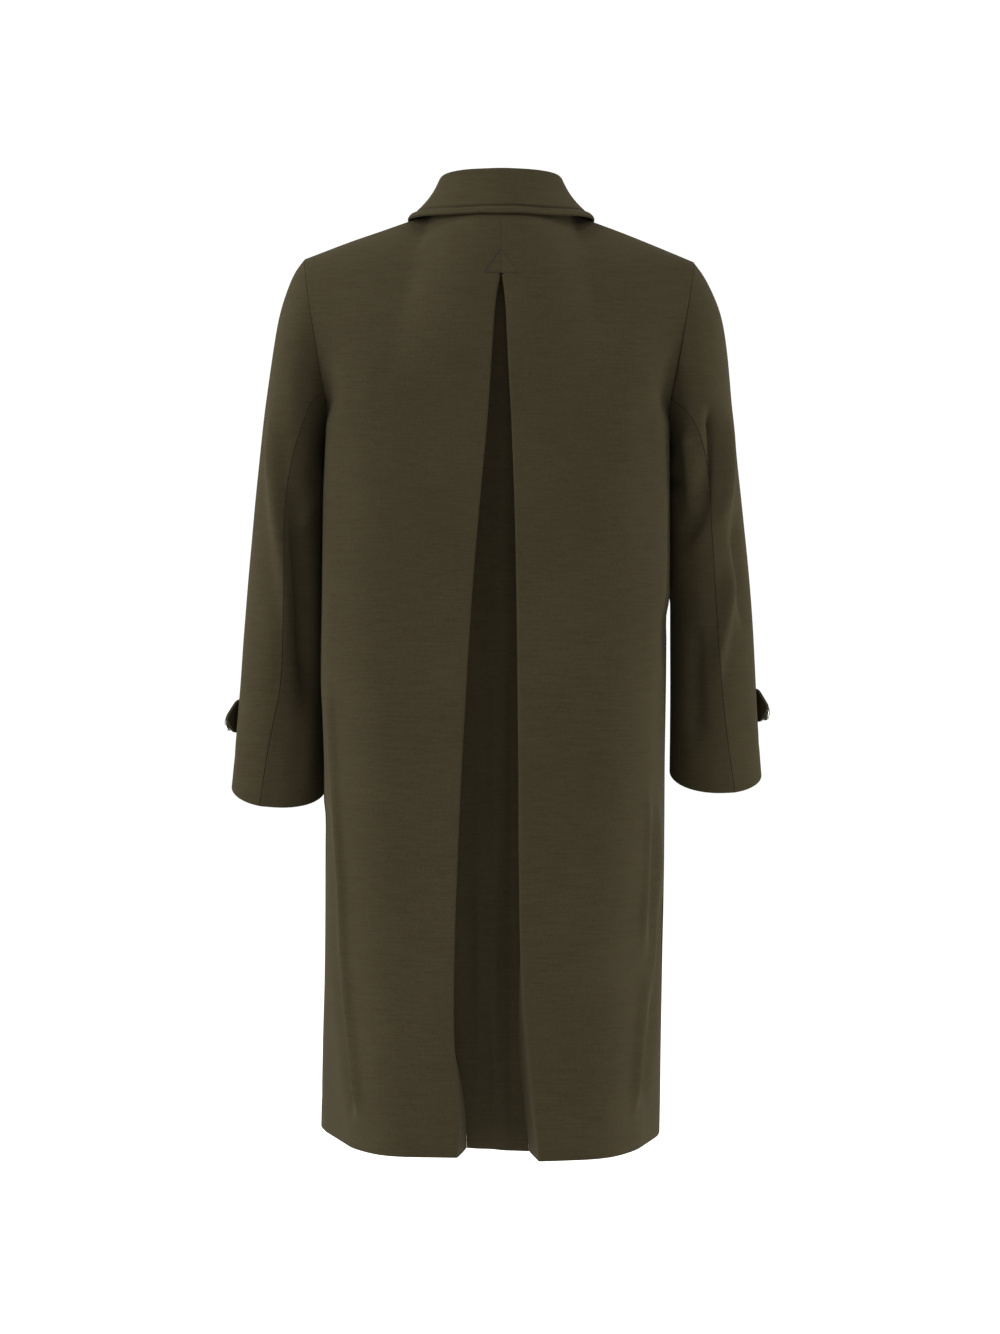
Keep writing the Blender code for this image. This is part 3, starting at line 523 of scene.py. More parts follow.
@dataclass(frozen=True)
class EdgeLine:
    """Pressed line that keeps its distance from the edge of a wall, such as a topstitched edge.

    Attributes:
        distance: From the edge to the middle of the line.
        depth: Depth of the line.
        width: Half of its width.
        pad: How far the cloth between the edge and the line stands proud.
        below: Edges above this height don't count.
        away_from: Node whose neighbourhood doesn't count either.
        reach: Size of that neighbourhood.
        bell: Spread of its bell-shaped section as a share of half of its width.
    """

    distance: float
    depth: float
    width: float
    pad: float = 0.0
    below: float = 1000.0
    away_from: str = ""
    reach: float = 14.0
    bell: float = 0.6

    def distances(self, points: np.ndarray, rims: np.ndarray) -> np.ndarray:
        """Distance of each point from the nearest edge that counts.

        Args:
            points: Places in millimetres.
            rims: Places along all the edges of the wall.

        Returns:
            One distance for each point.
        """
        counted = rims[rims[:, 2] < self.below]
        if self.away_from:
            near = surface(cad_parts[self.away_from])
            gaps = [near.find_nearest(Vector(place) * MM)[3] for place in counted]
            counted = counted[np.array(gaps) > self.reach * MM]
        tree = point_tree(counted)
        return np.array([tree.find(Vector(place))[2] for place in points])

    def height(self, far: np.ndarray) -> np.ndarray:
        """Height of the pressed line and of the cloth that stands proud beside it.

        Args:
            far: Distances from the edge.

        Returns:
            Height in millimetres, one for each distance.
        """
        section = np.exp(-0.5 * ((far - self.distance) / (self.bell * self.width)) ** 2)
        inside = np.clip((self.distance - far) / self.distance, 0, 1)
        return self.pad * np.sin(math.pi * inside) ** 0.8 - self.depth * section


@dataclass
class ClothWall:
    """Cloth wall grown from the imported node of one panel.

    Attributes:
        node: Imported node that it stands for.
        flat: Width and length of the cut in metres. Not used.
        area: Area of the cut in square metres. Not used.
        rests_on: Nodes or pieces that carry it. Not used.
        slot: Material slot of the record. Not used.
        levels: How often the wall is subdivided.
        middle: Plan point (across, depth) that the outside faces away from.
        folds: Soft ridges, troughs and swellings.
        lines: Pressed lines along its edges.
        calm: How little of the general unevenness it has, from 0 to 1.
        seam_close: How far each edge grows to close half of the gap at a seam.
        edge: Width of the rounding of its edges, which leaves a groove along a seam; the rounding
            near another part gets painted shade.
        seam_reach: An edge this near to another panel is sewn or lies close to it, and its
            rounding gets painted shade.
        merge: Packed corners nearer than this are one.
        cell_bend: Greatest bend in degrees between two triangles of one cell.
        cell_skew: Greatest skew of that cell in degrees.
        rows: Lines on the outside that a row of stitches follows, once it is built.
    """

    node: str
    flat: tuple[float, float]
    area: float
    rests_on: tuple[str, ...]
    slot: str = "loden"
    held: str = "hung"
    levels: int = 2
    middle: tuple[float, float] = (0.0, 0.0)
    folds: tuple[Fold | Swell, ...] = ()
    lines: tuple[EdgeLine, ...] = ()
    calm: float = 0.3
    seam_close: float = 0.18
    edge: float = 1.2
    seam_reach: float = 3.0
    merge: float = 0.02
    cell_bend: float = 42.0
    cell_skew: float = 75.0
    rows: tuple[np.ndarray, ...] = ()

    @property
    def name(self) -> str:
        """Name of the piece."""
        return self.node + "_wool"

    def cage(self) -> Object:
        """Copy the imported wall, merge its corners and join its triangles to four-sided cells.

        Returns:
            The copy.
        """
        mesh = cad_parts[self.node].data.copy()
        mesh.materials.clear()
        cage = add_object(self.name, mesh)
        only(cage)
        bpy.ops.mesh.customdata_custom_splitnormals_clear()
        bpy.ops.object.mode_set(mode="EDIT")
        bpy.ops.mesh.select_mode(type="FACE")
        bpy.ops.mesh.select_all(action="SELECT")
        bpy.ops.mesh.remove_doubles(threshold=self.merge * MM)
        bpy.ops.mesh.tris_convert_to_quads(
            face_threshold=math.radians(self.cell_bend),
            shape_threshold=math.radians(self.cell_skew),
        )
        bpy.ops.object.mode_set(mode="OBJECT")
        return cage

    @staticmethod
    def regions(form: bmesh.types.BMesh, crease: bmesh.types.BMLayerItem) -> list[FaceGroup]:
        """Group the faces of a wall by the sharp edges between them.

        Args:
            form: Faces of the wall.
            crease: Layer with a value above 0 on sharp edges.

        Returns:
            The groups, the largest first.
        """
        groups = []
        seen = set()
        for seed in form.faces:
            if seed in seen:
                continue
            group = []
            reached = [seed]
            seen.add(seed)
            while reached:
                face = reached.pop()
                group.append(face)
                for edge in face.edges:
                    if edge[crease] == 0:
                        fresh = [other for other in edge.link_faces if other not in seen]
                        seen.update(fresh)
                        reached.extend(fresh)
            groups.append(group)
        return sorted(groups, key=lambda group: -sum(face.calc_area() for face in group))

    def sheets(self, cage: Object) -> np.ndarray:
        """Crease the sharp edges, close the seams and find the direction through the wall.

        Args:
            cage: Wall made of four-sided cells.

        Returns:
            One unit vector for each vertex, out of the cloth.
        """
        form = bmesh.new()
        form.from_mesh(cage.data)
        crease = form.edges.layers.float.new("crease_edge")
        for edge in form.edges:
            if edge.calc_face_angle(0) > SHARP:
                edge[crease] = 1.0
        groups = self.regions(form, crease)
        middle = Vector((self.middle[0] * MM, self.middle[1] * MM, 0))

        def faces_out(group: FaceGroup) -> float:
            """Sum up how much a sheet faces away from the middle."""
            arms = ((face, face.calc_center_median() - middle) for face in group)
            return sum(face.normal.xy.dot(arm.xy) * face.calc_area() for face, arm in arms)

        both = sorted(groups[:2], key=faces_out, reverse=True)
        places = np.array([vert.co for vert in form.verts])
        through = np.zeros((len(places), 3))
        outer, inner = ({vert.index for face in group for vert in face.verts} for group in both)
        for here, other, sign in ((outer, inner, 1.0), (inner, outer, -1.0)):
            tree = point_tree(places[list(other)])
            for index in here:
                spot, _, _ = tree.find(Vector(places[index]))
                through[index] = (places[index] - np.array(spot)) * sign
        grow = {}
        for group in groups[2:]:
            for face in group:
                for vert in face.verts:
                    grow.setdefault(vert, Vector())
                    grow[vert] += face.normal * face.calc_area()
        for vert, way in grow.items():
            if way.length > 0:
                vert.co += way.normalized() * self.seam_close * MM
        form.to_mesh(cage.data)
        form.free()
        length = np.linalg.norm(through, axis=1, keepdims=True)
        LOG.info("%s: %d sheets and rims", self.name, len(groups))
        return through / np.maximum(length, 1e-9)

    def unevenness(self, points: np.ndarray) -> np.ndarray:
        """Slight unevenness that keeps heavy cloth from looking machined.

        Args:
            points: Places in millimetres.

        Returns:
            Height in millimetres, one for each point.
        """
        height = np.zeros(len(points))
        for turn, wave, rise in WAVES:
            # Each wave runs one way over the cloth and fades in and out slowly across it.
            run = points @ np.array((math.cos(turn), math.sin(turn), 0.45 * math.cos(3 * turn)))
            across = points @ np.array((math.sin(turn), math.cos(turn), 0.3))
            ripple = np.sin(2 * math.pi * run / wave + turn)
            height += rise * ripple * np.cos(across / wave * 2.3)
        return height * (1 - self.calm)

    @staticmethod
    def rims(piece: Object) -> np.ndarray:
        """Find places along the sharp edges of a wall.

        Args:
            piece: Smoothed wall.

        Returns:
            Places in millimetres.
        """
        form = bmesh.new()
        form.from_mesh(piece.data)
        places = []
        for edge in form.edges:
            if edge.calc_face_angle(0) > SHARP:
                first, last = (vert.co / MM for vert in edge.verts)
                places.extend(first.lerp(last, part) for part in (0.0, 0.33, 0.67))
        form.free()
        return np.array(places)

    @staticmethod
    def level_line(
        piece: Object, values: np.ndarray, level: float, out: np.ndarray
    ) -> np.ndarray:
        """Find where a value of the vertices crosses a level on the outside of a wall.

        Args:
            piece: Smoothed wall.
            values: One value for each vertex.
            level: Value that the line has.
            out: Whether each vertex is on the outside.

        Returns:
            Ordered places along the longest such line, in metres.
        """
        form = bmesh.new()
        form.from_mesh(piece.data)
        places = {}
        for edge in form.edges:
            first, last = edge.verts
            before = values[first.index] - level
            after = values[last.index] - level
            if out[first.index] and out[last.index] and before * after < 0:
                places[edge.index] = first.co.lerp(last.co, before / (before - after))
        links = {index: [] for index in places}
        for face in form.faces:
            hit = [edge.index for edge in face.edges if edge.index in places]
            if len(hit) == 2:
                links[hit[0]].append(hit[1])
                links[hit[1]].append(hit[0])
        form.free()
        best = []
        seen = set()
        for start in sorted(links, key=lambda index: (len(links[index]), index)):
            chain = []
            step = start
            while step is not None and step not in seen:
                seen.add(step)
                chain.append(places[step])
                step = next((other for other in links[step] if other not in seen), None)
            if len(chain) > len(best):
                best = chain
        return np.array(best)

    def paint_seam_shade(self, piece: Object) -> None:
        """Paint shade into the seams: write 1 on each vertex of a rounded edge that lies near
        another part, for the finish to darken.

        Args:
            piece: Wall whose rounded edges have the second material.
        """
        mesh = piece.data
        form = bmesh.new()
        form.from_mesh(mesh)
        # A vertex is inside the rounding when all the faces round it belong to the rounding.
        inner = {
            vert.index: vert.co.copy() for vert in form.verts
            if vert.link_faces and all(face.material_index for face in vert.link_faces)
        }
        form.free()
        others = [
            surface(other) for name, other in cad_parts.items()
            if name != self.node and "button" not in name
        ]
        reach = self.seam_reach * MM
        # Mask of painted shade: 1 where the finish darkens the cloth between this piece and
        # another.
        deep = np.zeros(len(mesh.vertices), dtype=np.float32)
        for index, place in inner.items():
            if any(tree.find_nearest(place, reach)[0] is not None for tree in others):
                deep[index] = 1.0
        mesh.attributes.new(SEAM_SHADE_MASK, "FLOAT", "POINT").data.foreach_set("value", deep)
        mesh.polygons.foreach_set("material_index", np.zeros(len(mesh.polygons), dtype=np.int32))

    def smooth(self, piece: Object) -> tuple[np.ndarray, np.ndarray]:
        """Smooth a wall, together with a twin that lies one millimetre further out.

        Args:
            piece: Wall made of four-sided cells.

        Returns:
            Places of the smoothed vertices in metres, and the direction out of the cloth at each.
        """
        through = self.sheets(piece)
        twin = add_object(self.name + "_twin", piece.data.copy())
        move_vertices(twin, vertex_places(piece) + through * MM)
        for target in (piece, twin):
            apply_modifier(
                target, "SUBSURF", levels=self.levels, render_levels=self.levels,
                boundary_smooth="PRESERVE_CORNERS",
            )
        places = vertex_places(piece)
        ways = (vertex_places(twin) - places) / MM
        bpy.data.objects.remove(twin, do_unlink=True)
        return places, ways

    def round_edges(self, piece: Object, finish: Material) -> None:
        """Round the edges of a wall and paint shade into its seams.

        Args:
            piece: Smoothed wall.
            finish: Material of the cloth. It is there twice until the painted seam shade is laid
                on.
        """
        piece.data.materials.append(finish)
        piece.data.materials.append(finish)
        apply_modifier(
            piece, "BEVEL", limit_method="ANGLE", angle_limit=SHARP,
            width=self.edge * MM, segments=3, use_clamp_overlap=True, material=1,
        )
        self.paint_seam_shade(piece)
        piece.data.materials.pop(index=1)

    def shape(self, piece: Object, through: np.ndarray, rims: np.ndarray | None) -> None:
        """Give a wall its unevenness, folds and pressed lines, and find the rows of stitches.

        Args:
            piece: Smoothed wall with rounded edges.
            through: Direction out of the cloth at each vertex.
            rims: Places along all the edges in millimetres, for a wall with pressed lines.
        """
        places = vertex_places(piece)
        points = places / MM
        height = self.unevenness(points)
        for fold in self.folds:
            height += fold.height(points, through)
        found = []
        for line in self.lines:
            found.append(line.distances(points, rims))
            height += line.height(found[-1])
        move_vertices(piece, places + through * height[:, None] * MM)
        out = np.einsum("ij,ij->i", vertex_normals(piece), through) > OUTSIDE
        self.rows = tuple(
            self.level_line(piece, far, line.distance, out) for line, far in zip(self.lines, found)
        )

    def build(self, finish: Material) -> Object:
        """Grow the piece and dress it.

        Args:
            finish: Material of the cloth.

        Returns:
            The finished piece.
        """
        piece = self.cage()
        places, ways = self.smooth(piece)
        rims = self.rims(piece) if self.lines else None
        self.round_edges(piece, finish)
        tree = point_tree(places)
        through = ways[[tree.find(Vector(place))[1] for place in vertex_places(piece)]]
        self.shape(piece, through, rims)
        only(piece)
        bpy.ops.object.shade_smooth()
        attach(piece, "root")
        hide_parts(self.node)
        LOG.info("%s: %d faces", self.name, len(piece.data.polygons))
        return piece


@dataclass
class Topstitching:
    """Row of lockstitches in heavy thread, sunk a little into the cloth.

    Attributes:
        name: Name of the row.
        pitch: From one stitch to the next.
        length: Length of the part of a stitch that shows.
        thick: Thickness of the thread, drawn half as thick again as it is so that it shows.
        sink: How deep the thread lies in the cloth.
    """

    name: str
    pitch: float = 3.6
    length: float = 3.0
    thick: float = 0.75
    sink: float = 0.12

    def model(self) -> bpy.types.Mesh:
        """Model one stitch along X: a thread that dips at both ends.

        Returns:
            Its mesh.
        """
        bpy.ops.object.select_all(action="DESELECT")
        bpy.ops.mesh.primitive_cylinder_add(
            vertices=6, radius=self.thick / 2 * MM, depth=self.length * 0.5 * MM,
            rotation=(0, math.pi / 2, 0),
        )
        stitch = bpy.context.active_object
        bpy.ops.object.transform_apply(location=True, rotation=True, scale=True)
        for end in (1, -1):
            bpy.ops.object.mode_set(mode="EDIT")
            bpy.ops.mesh.select_mode(type="FACE")
            bpy.ops.mesh.select_all(action="DESELECT")
            bpy.ops.object.mode_set(mode="OBJECT")
            for face in stitch.data.polygons:
                face.select = face.normal.x * end > 0.9
            bpy.ops.object.mode_set(mode="EDIT")
            step = (end * self.length * 0.25 * MM, 0, -0.3 * self.thick * MM)
            bpy.ops.mesh.extrude_region_move(TRANSFORM_OT_translate={"value": step})
            bpy.ops.transform.resize(value=(1.0, 0.6, 0.6))
            bpy.ops.object.mode_set(mode="OBJECT")
        mesh = stitch.data
        bpy.data.objects.remove(stitch, do_unlink=True)
        return mesh

    def build(
        self, lines: list[np.ndarray], cloths: list[Object], finish: Material
    ) -> None:
        """Sew along lines on the cloth.

        Args:
            lines: Ordered places in metres, one array for each line.
            cloths: Pieces that the lines lie on.
            finish: Material of the thread.
        """
        model = self.model()
        trees = [surface(cloth) for cloth in cloths]
        made = []
        for line in lines:
            run = np.concatenate(([0], np.cumsum(np.linalg.norm(np.diff(line, axis=0), axis=1))))
            count = int(run[-1] / (self.pitch * MM))
            for step in range(count):
                span = [(step + part) * run[-1] / count for part in (0.2, 0.5, 0.8)]
                before, here, after = (
                    Vector([np.interp(place, run, line[:, axis]) for axis in range(3)])
                    for place in span
                )
                spot, normal, _, _ = min(
                    (tree.find_nearest(here) for tree in trees), key=lambda hit: hit[3]
                )
                along = (after - before).normalized()
                across = normal.cross(along).normalized()
                up = along.cross(across)
                turn = Matrix((along, across, up)).transposed().to_4x4()
                lift = spot + normal * (self.thick / 2 - self.sink) * MM
                mesh = model.copy()
                mesh.transform(Matrix.Translation(lift) @ turn)
                made.append(add_object(self.name, mesh))
        bpy.ops.object.select_all(action="DESELECT")
        for stitch in made:
            stitch.select_set(True)
        row = made[0]
        bpy.context.view_layer.objects.active = row
        bpy.ops.object.join()
        row.name = self.name
        only(row)
        bpy.ops.object.shade_smooth()
        row.data.materials.append(finish)
        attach(row, "root")
        LOG.info("%s: %d stitches", self.name, len(made))


@dataclass
class Assembly:
    """Sewn sub-assembly of the coat.

    Attributes:
        cloth: Material of the cloth.
        thread: Material of the stitches.
    """

    cloth: Material
    thread: Material


@dataclass
class Body(Assembly):
    """Back panels, the underlay of the pleat and the fronts.

    Attributes:
        hem_turn: Height of the turned-up hem.
        head: Corners of the stitched triangle at the head of the pleat, as the camera sees them.
    """

    hem_turn: float = 38.0
    head: tuple[tuple[float, float], ...] = ((0.5, -48.0), (20.0, -75.5), (-21.0, -76.5))

    @staticmethod
    def arm_room(side: Side) -> tuple[Swell, ...]:
        """Give the folds of the body's side beside a sleeve.

        Args:
            side: Side of the coat.

        Returns:
            A swelling behind the sleeve and a hollow beside it.
        """
        low = -700.0 if side is Side.LEFT else -470.0
        way = (side.value, 0.0)
        return (
            Swell(5.2, (26.0, 92.0), (low, -248.0), way),
            Swell(-3.0, (-90.0, 16.0), (low - 20.0, -300.0), way),
        )

    def walls(self) -> list[ClothWall]:
        """Give the panels of the body with their cuts and folds.

        Returns:
            The panels, the two backs first.
        """
        left_edge = (
            (201, -553), (195, -678), (187, -787), (185, -869), (180, -928), (174, -986),
            (165, -1068),
        )
        left = (
            Fold(left_edge, 7.5, 5.0, 0.07),
            Fold(tuple((x + 9.0, z) for x, z in left_edge), -11.0, 6.5, 0.07),
            Fold(((205, -640), (200, -760), (199, -860)), 3.0, 5.0, 0.4),
        )
        right_edge = (
            (-180, -681), (-184, -744), (-184, -773), (-181, -822), (-178, -854), (-176, -889),
            (-168, -917), (-160, -986), (-154, -1066),
        )
        right_inner = (
            (-174, -670), (-173, -725), (-171, -780), (-167, -832), (-167, -863), (-171, -888),
        )
        right_outer = ((-188, -790), (-186, -850), (-184, -900), (-177, -960), (-165, -1055))
        right = (
            Fold(right_inner, 5.0, 4.5),
            Fold(((-178, -685), (-178, -750), (-176, -830), (-173, -880)), -6.5, 4.0),
            Fold(right_edge, 8.0, 5.0, 0.1),
            Fold(right_outer, -11.0, 6.5, 0.12),
        )
        under = tuple(
            Fold(((across, -520), (across, -1090)), rise, 6.0, 0.1)
            for across, rise in ((27, 1.6), (7, 1.6), (-11, -1.6))
        )
        room_left, room_right = (self.arm_room(side) for side in Side)
        hem = (EdgeLine(self.hem_turn, 0.45, 3.0, below=-1030.0),)
        panels = [
            ClothWall(node, flat, area, ("collar_stand",), folds=folds, lines=hem)
            for node, flat, area, folds in (
                ("back_left", (0.335, 1.10), 0.314, left + room_left),
                ("back_right", (0.33, 1.10), 0.314, right + room_right),
                ("front_left", (0.376, 1.08), 0.338, room_left),
                ("front_right", (0.36, 1.08), 0.326, room_right),
            )
        ]
        underlay = ClothWall(
            "pleat_underlay", (0.116, 1.0), 0.082, ("back_left", "back_right"),
            slot="loden_underlay", middle=(0.0, -500.0), folds=under,
        )
        return panels[:2] + [underlay] + panels[2:]

    def build(self) -> None:
        """Grow and dress the panels, and stitch down the head of the pleat."""
        backs = [wall.build(self.cloth) for wall in self.walls()][:2]
        trees = [surface(back) for back in backs]
        lines = []
        for start, end in zip(self.head, self.head[1:] + self.head[:1]):
            places = []
            for part in np.linspace(0, 1, 24):
                across = start[0] + (end[0] - start[0]) * part
                height = start[1] + (end[1] - start[1]) * part
                way = Vector((across * MM, 0, height * MM)) - EYE
                hits = [tree.ray_cast(EYE, way.normalized()) for tree in trees]
                hits = [hit for hit in hits if hit[0] is not None]
                if hits:
                    places.append(min(hits, key=lambda hit: hit[3])[0])
            lines.append(np.array(places))
        row = Topstitching("pleat_head_topstitching", thick=0.9, sink=0.1)
        row.build(lines, backs, self.thread)


@dataclass
class Sleeves(Assembly):
    """Two-piece sleeves, each a top and an under sleeve.

    Attributes:
        hem_turn: Height of the turned-up hem.
        cuts: Part, width and length of its cut in metres, and area in square metres.
    """

    hem_turn: float = 36.0
    cuts: tuple[tuple[str, tuple[float, float], float], ...] = (
        ("top", (0.272, 0.68), 0.118), ("under", (0.182, 0.52), 0.074),
    )

    def folds(self, side: Side) -> tuple[Fold | Swell, ...]:
        """Give the folds of one sleeve, as the camera sees them, and its swelling to the body.

        Args:
            side: Side of the coat.

        Returns:
            Swellings and folds.
        """
        deep = (-60.0, 45.0)
        way = (-side.value, 0.0)
        if side is Side.LEFT:
            ridge = (
                (267, -202), (266, -299), (262, -358), (257, -412), (252, -464), (249, -518),
            )
            hollow = ((245, -308), (239, -389), (232, -460), (229, -553), (235, -612))
            return (
                Swell(5.0, deep, (-720.0, -300.0), way),
                Fold(ridge, 10.0, 10.0),
                Fold(hollow, -14.0, 12.0),
                Fold(((240, -389), (223, -352), (209, -319)), 6.0, 11.0),
                Fold(((222, -560), (226, -640), (230, -700)), 3.5, 10.0),
            )
        hollow = (
            (-243, -220), (-247, -272), (-246, -319), (-236, -360), (-219, -384), (-200, -395),
        )
        return (
            Swell(5.5, deep, (-450.0, -295.0), way),
            Swell(1.5, deep, (-690.0, -450.0), way),
            Fold(hollow, -14.0, 11.0, 0.2),
            Fold(((-191, -305), (-200, -317), (-209, -337)), -13.0, 10.0, 0.4),
            Fold(((-214, -255), (-223, -290), (-226, -331), (-216, -360)), 9.0, 9.0),
            Fold(((-266, -226), (-266, -272), (-264, -319), (-259, -378)), 10.0, 9.0),
            Fold(((-271, -407), (-266, -460), (-257, -518), (-252, -565)), 9.5, 8.0),
            Fold(((-276, -343), (-275, -389), (-282, -448), (-285, -506)), -8.0, 8.0),
            Fold(((-230, -480), (-228, -560), (-230, -640)), -7.0, 11.0),
        )

    def build(self) -> None:
        """Grow and dress the sleeves."""
        hem = (EdgeLine(self.hem_turn, 0.35, 3.0, below=-640.0),)
        for side in Side:
            carried = ("back_" + side.word, "front_" + side.word)
            for part, flat, area in self.cuts:
                ClothWall(
                    "sleeve_%s_%s" % (side.word, part), flat, area, carried,
                    middle=(252.0 * side.value, 0.0), folds=self.folds(side), lines=hem,
                ).build(self.cloth)


@dataclass
class Collar(Assembly):
    """Stand and turned-down fall.

    Attributes:
        edge_row: From the edge of the fall to its topstitching.
    """

    edge_row: float = 10.5

    def build(self) -> None:
        """Grow and dress the collar, and topstitch its edge."""
        carried = ("back_left", "back_right")
        ClothWall("collar_stand", (0.05, 0.44), 0.017, carried).build(self.cloth)
        row = EdgeLine(self.edge_row, 3.2, 1.6, pad=1.5, away_from="collar_stand")
        fall = ClothWall("collar_fall", (0.075, 0.62), 0.039, carried, levels=3, lines=(row,))
        piece = fall.build(self.cloth)
        Topstitching("collar_topstitching").build(list(fall.rows), [piece], self.thread)


@dataclass
class CuffTabs(Assembly):
    """Pointed tabs on the cuffs.

    Attributes:
        edge_row: From the edge of a tab to its topstitching.
    """

    edge_row: float = 5.0

    def build(self) -> None:
        """Grow, dress and topstitch the tabs."""
        row = EdgeLine(self.edge_row, 0.3, 1.2, pad=0.2)
        for side in Side:
            wall = ClothWall(
                "cuff_tab_" + side.word, (0.042, 0.098), 0.0036, ("sleeve_%s_top" % side.word,),
                held="laid", levels=3, middle=(264.0 * side.value, 0.0), lines=(row,), calm=0.8,
            )
            piece = wall.build(self.cloth)
            seam = Topstitching(wall.node + "_topstitching")
            seam.build(list(wall.rows), [piece], self.thread)


@dataclass
class Buttons:
    """Domed metal buttons.

    Attributes:
        radius: Half of the diameter.
        foot: Radius of the flat back as a share of that of the button.
        outline: Share of the radius and rise above the foot, from there to the middle.
    """

    radius: float = 10.0
    foot: float = 0.9
    outline: tuple[tuple[float, float], ...] = (
        (1.0, 0.55), (1.0, 1.75), (0.94, 2.2), (0.84, 2.2), (0.80, 1.45),
        (0.75, 1.45), (0.63, 2.0), (0.38, 2.55), (0.16, 2.67),
    )

    def model(self) -> bpy.types.Mesh:
        """Model one button with a rolled rim and a low dome, standing on its flat back.

        Returns:
            Its mesh.
        """
        bpy.ops.object.select_all(action="DESELECT")
        bpy.ops.mesh.primitive_cylinder_add(
            vertices=48, radius=self.radius * self.foot * MM, depth=0.9 * MM,
            location=(0, 0, 0.45 * MM), end_fill_type="NGON",
        )
        button = bpy.context.active_object
        bpy.ops.object.transform_apply(location=True, rotation=True, scale=True)
        for face in button.data.polygons:
            face.select = face.normal.z > 0.9
        bpy.ops.object.mode_set(mode="EDIT")
        bpy.ops.mesh.select_mode(type="FACE")
        size = self.foot
        floor = 0.0
        for share, rise in self.outline:
            bpy.ops.mesh.extrude_region_move(
                TRANSFORM_OT_translate={"value": (0, 0, (rise - floor) * MM)}
            )
            scale = share / size
            bpy.ops.transform.resize(value=(scale, scale, 1.0), center_override=(0, 0, 0))
            size = share
            floor = rise
        bpy.ops.object.mode_set(mode="OBJECT")
        apply_modifier(
            button, "BEVEL", limit_method="ANGLE", angle_limit=math.radians(24),
            width=0.22 * MM, segments=2,
        )
        mesh = button.data
        bpy.data.objects.remove(button, do_unlink=True)
        mesh.name = "button_model"
        return mesh

    def build(self, finish: Material) -> None:
        """Put a copy of the model on each button's node.

        Args:
            finish: Material of the buttons.
        """
        model = self.model()
        for node in sorted(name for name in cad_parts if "button" in name):
            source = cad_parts[node]
            places = vertex_places(source)
            faces = source.data.polygons
            normal = Vector(max(faces, key=lambda face: self.seat_area(faces, face)).normal)
            middle = Vector((places.max(axis=0) + places.min(axis=0)) / 2)
            axis = -normal
            seat = min((Vector(place) - middle).dot(axis) for place in places)
            mesh = model.copy()
            turn = axis.to_track_quat("Z", "Y").to_matrix().to_4x4()
            mesh.transform(Matrix.Translation(middle + axis * seat) @ turn)
            mesh.materials.append(finish)
            for polygon in mesh.polygons:
                polygon.use_smooth = True
            button = add_object(node + "_metal", mesh)
            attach(button, "root")
            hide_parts(node)
            LOG.info("%s: %d faces", button.name, len(mesh.polygons))

    @staticmethod
    def seat_area(faces: bpy.types.MeshPolygons, face: bpy.types.MeshPolygon) -> float:
        """Whole area that faces the same way as a face: greatest for the flat back."""
        return sum(other.area for other in faces if other.normal.dot(face.normal) > 0.999)


@dataclass(frozen=True)
class SoftBox:
    """Square lamp that faces the middle of the coat.

    Attributes:
        name: Name of the lamp.
        place: Place in metres.
        size: Side of the square in metres.
        power: Power in watts.
    """

    name: str
    place: tuple[float, float, float]
    size: float
    power: float

    def build(self) -> None:
        """Put the lamp in the scene."""
        data = bpy.data.lights.new(self.name, "AREA")
        data.shape = "SQUARE"
        data.size = self.size
        data.energy = self.power
        lamp = add_object(self.name, data)
        lamp.location = self.place
        way = Vector((0.0, 0.0, -0.5)) - Vector(self.place)
        lamp.rotation_euler = way.to_track_quat("-Z", "Y").to_euler()


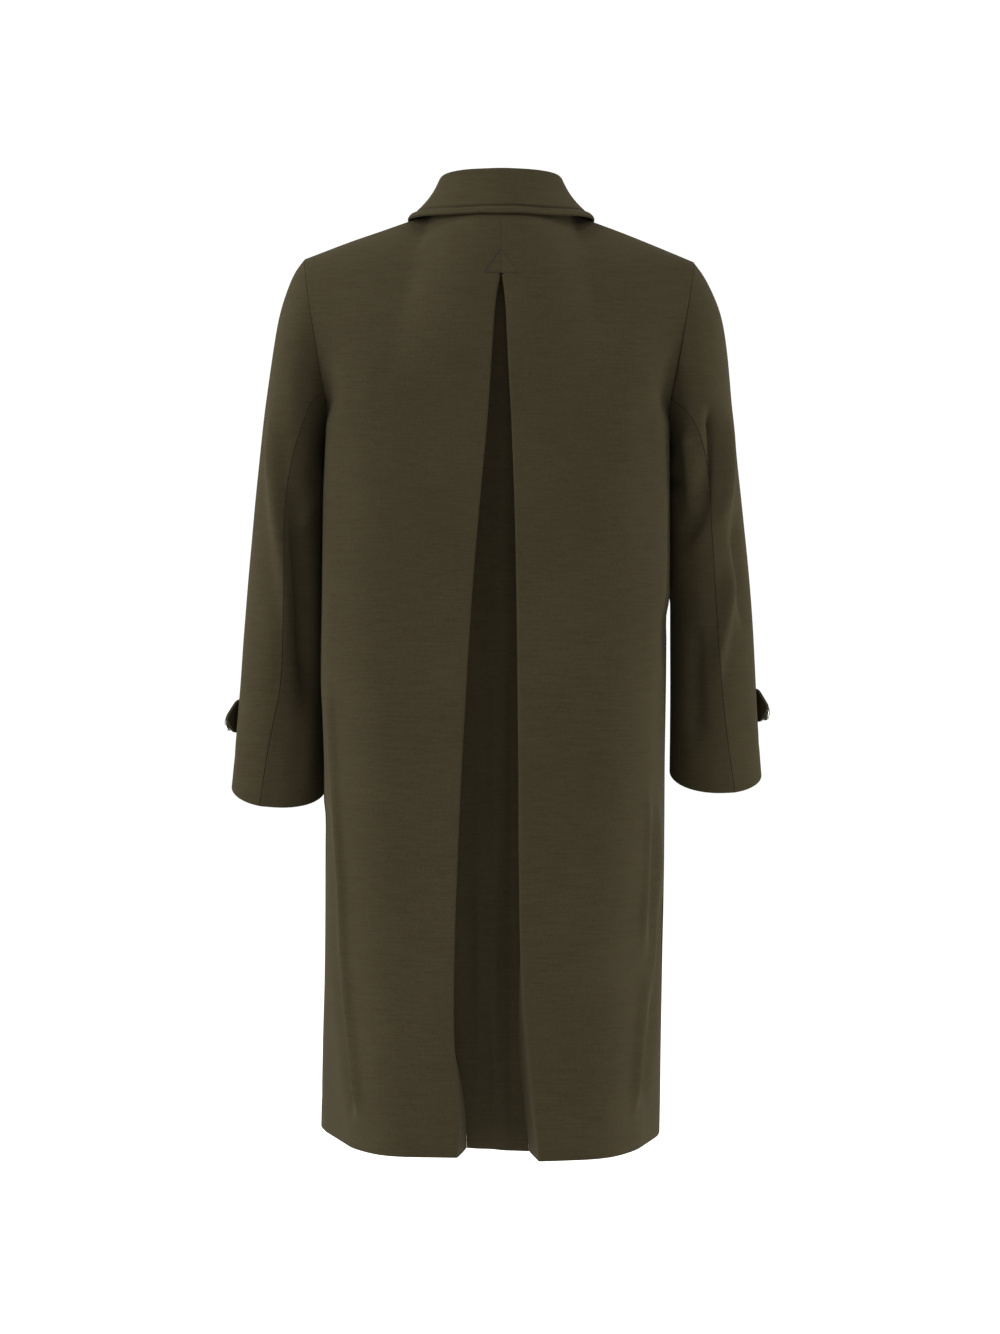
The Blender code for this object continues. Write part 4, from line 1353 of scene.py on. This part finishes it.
@dataclass
class Studio:
    """Floor, lights and the camera behind the coat.

    Attributes:
        lens: Focal length on a 36 mm long side.
        floor_z: Height of the floor in metres.
        surround: Strength of the white surround.
        exposure: Stops by which the picture is made darker, so that the surround is just white.
        lamps: Soft boxes.
    """

    lens: float = 73.81
    floor_z: float = -1.42
    surround: float = 1.85
    exposure: float = -0.8
    lamps: tuple[SoftBox, ...] = (
        SoftBox("key_light", (2.2, 1.5, 1.8), 1.0, 145.0),
        SoftBox("fill_light", (-2.2, 1.5, 1.8), 1.0, 65.0),
        SoftBox("top_light", (-0.4, 0.8, 2.4), 1.0, 80.0),
        SoftBox("side_light", (3.0, 0.3, 0.2), 1.6, 210.0),
        SoftBox("far_side_light", (-3.0, 0.2, -1.0), 0.8, 165.0),
        SoftBox("low_light", (0.0, 1.2, -1.28), 0.24, 4.5),
    )

    def camera(self) -> None:
        """Set the camera up level, straight behind the coat."""
        data = bpy.data.cameras.new("camera")
        data.lens = self.lens
        data.sensor_width = 36.0
        camera = add_object("camera", data)
        camera.location = EYE
        camera.rotation_euler = (math.radians(90), 0, math.radians(180))
        bpy.context.scene.camera = camera

    def build(self, finish: Material) -> None:
        """Make the floor, the lights, the white surround and the camera.

        Args:
            finish: Material of the floor.
        """
        bpy.ops.object.select_all(action="DESELECT")
        bpy.ops.mesh.primitive_plane_add(size=60.0, location=(0, 0, self.floor_z))
        floor = bpy.context.active_object
        floor.name = "floor"
        floor.data.materials.append(finish)
        world = bpy.data.worlds.new("white_surround")
        world.use_nodes = True
        back = world.node_tree.nodes["Background"]
        back.inputs["Color"].default_value = (1.0, 1.0, 1.0, 1.0)
        back.inputs["Strength"].default_value = self.surround
        bpy.context.scene.world = world
        bpy.context.scene.view_settings.view_transform = "Standard"
        bpy.context.scene.view_settings.exposure = self.exposure
        for lamp in self.lamps:
            lamp.build()
        self.camera()


def main() -> None:
    """Build the coat's looks and the studio, in order."""
    logging.basicConfig(level=logging.INFO, format="%(name)s %(message)s")
    loden = FulledLoden().build()
    thread = SewingThread().build()
    metal = CastButtonMetal().build()
    for assembly in (Body, Sleeves, Collar, CuffTabs):
        assembly(loden, thread).build()
    Buttons().build(metal)
    Studio().build(StudioPaper().build())


if __name__ == "__main__":
    main()
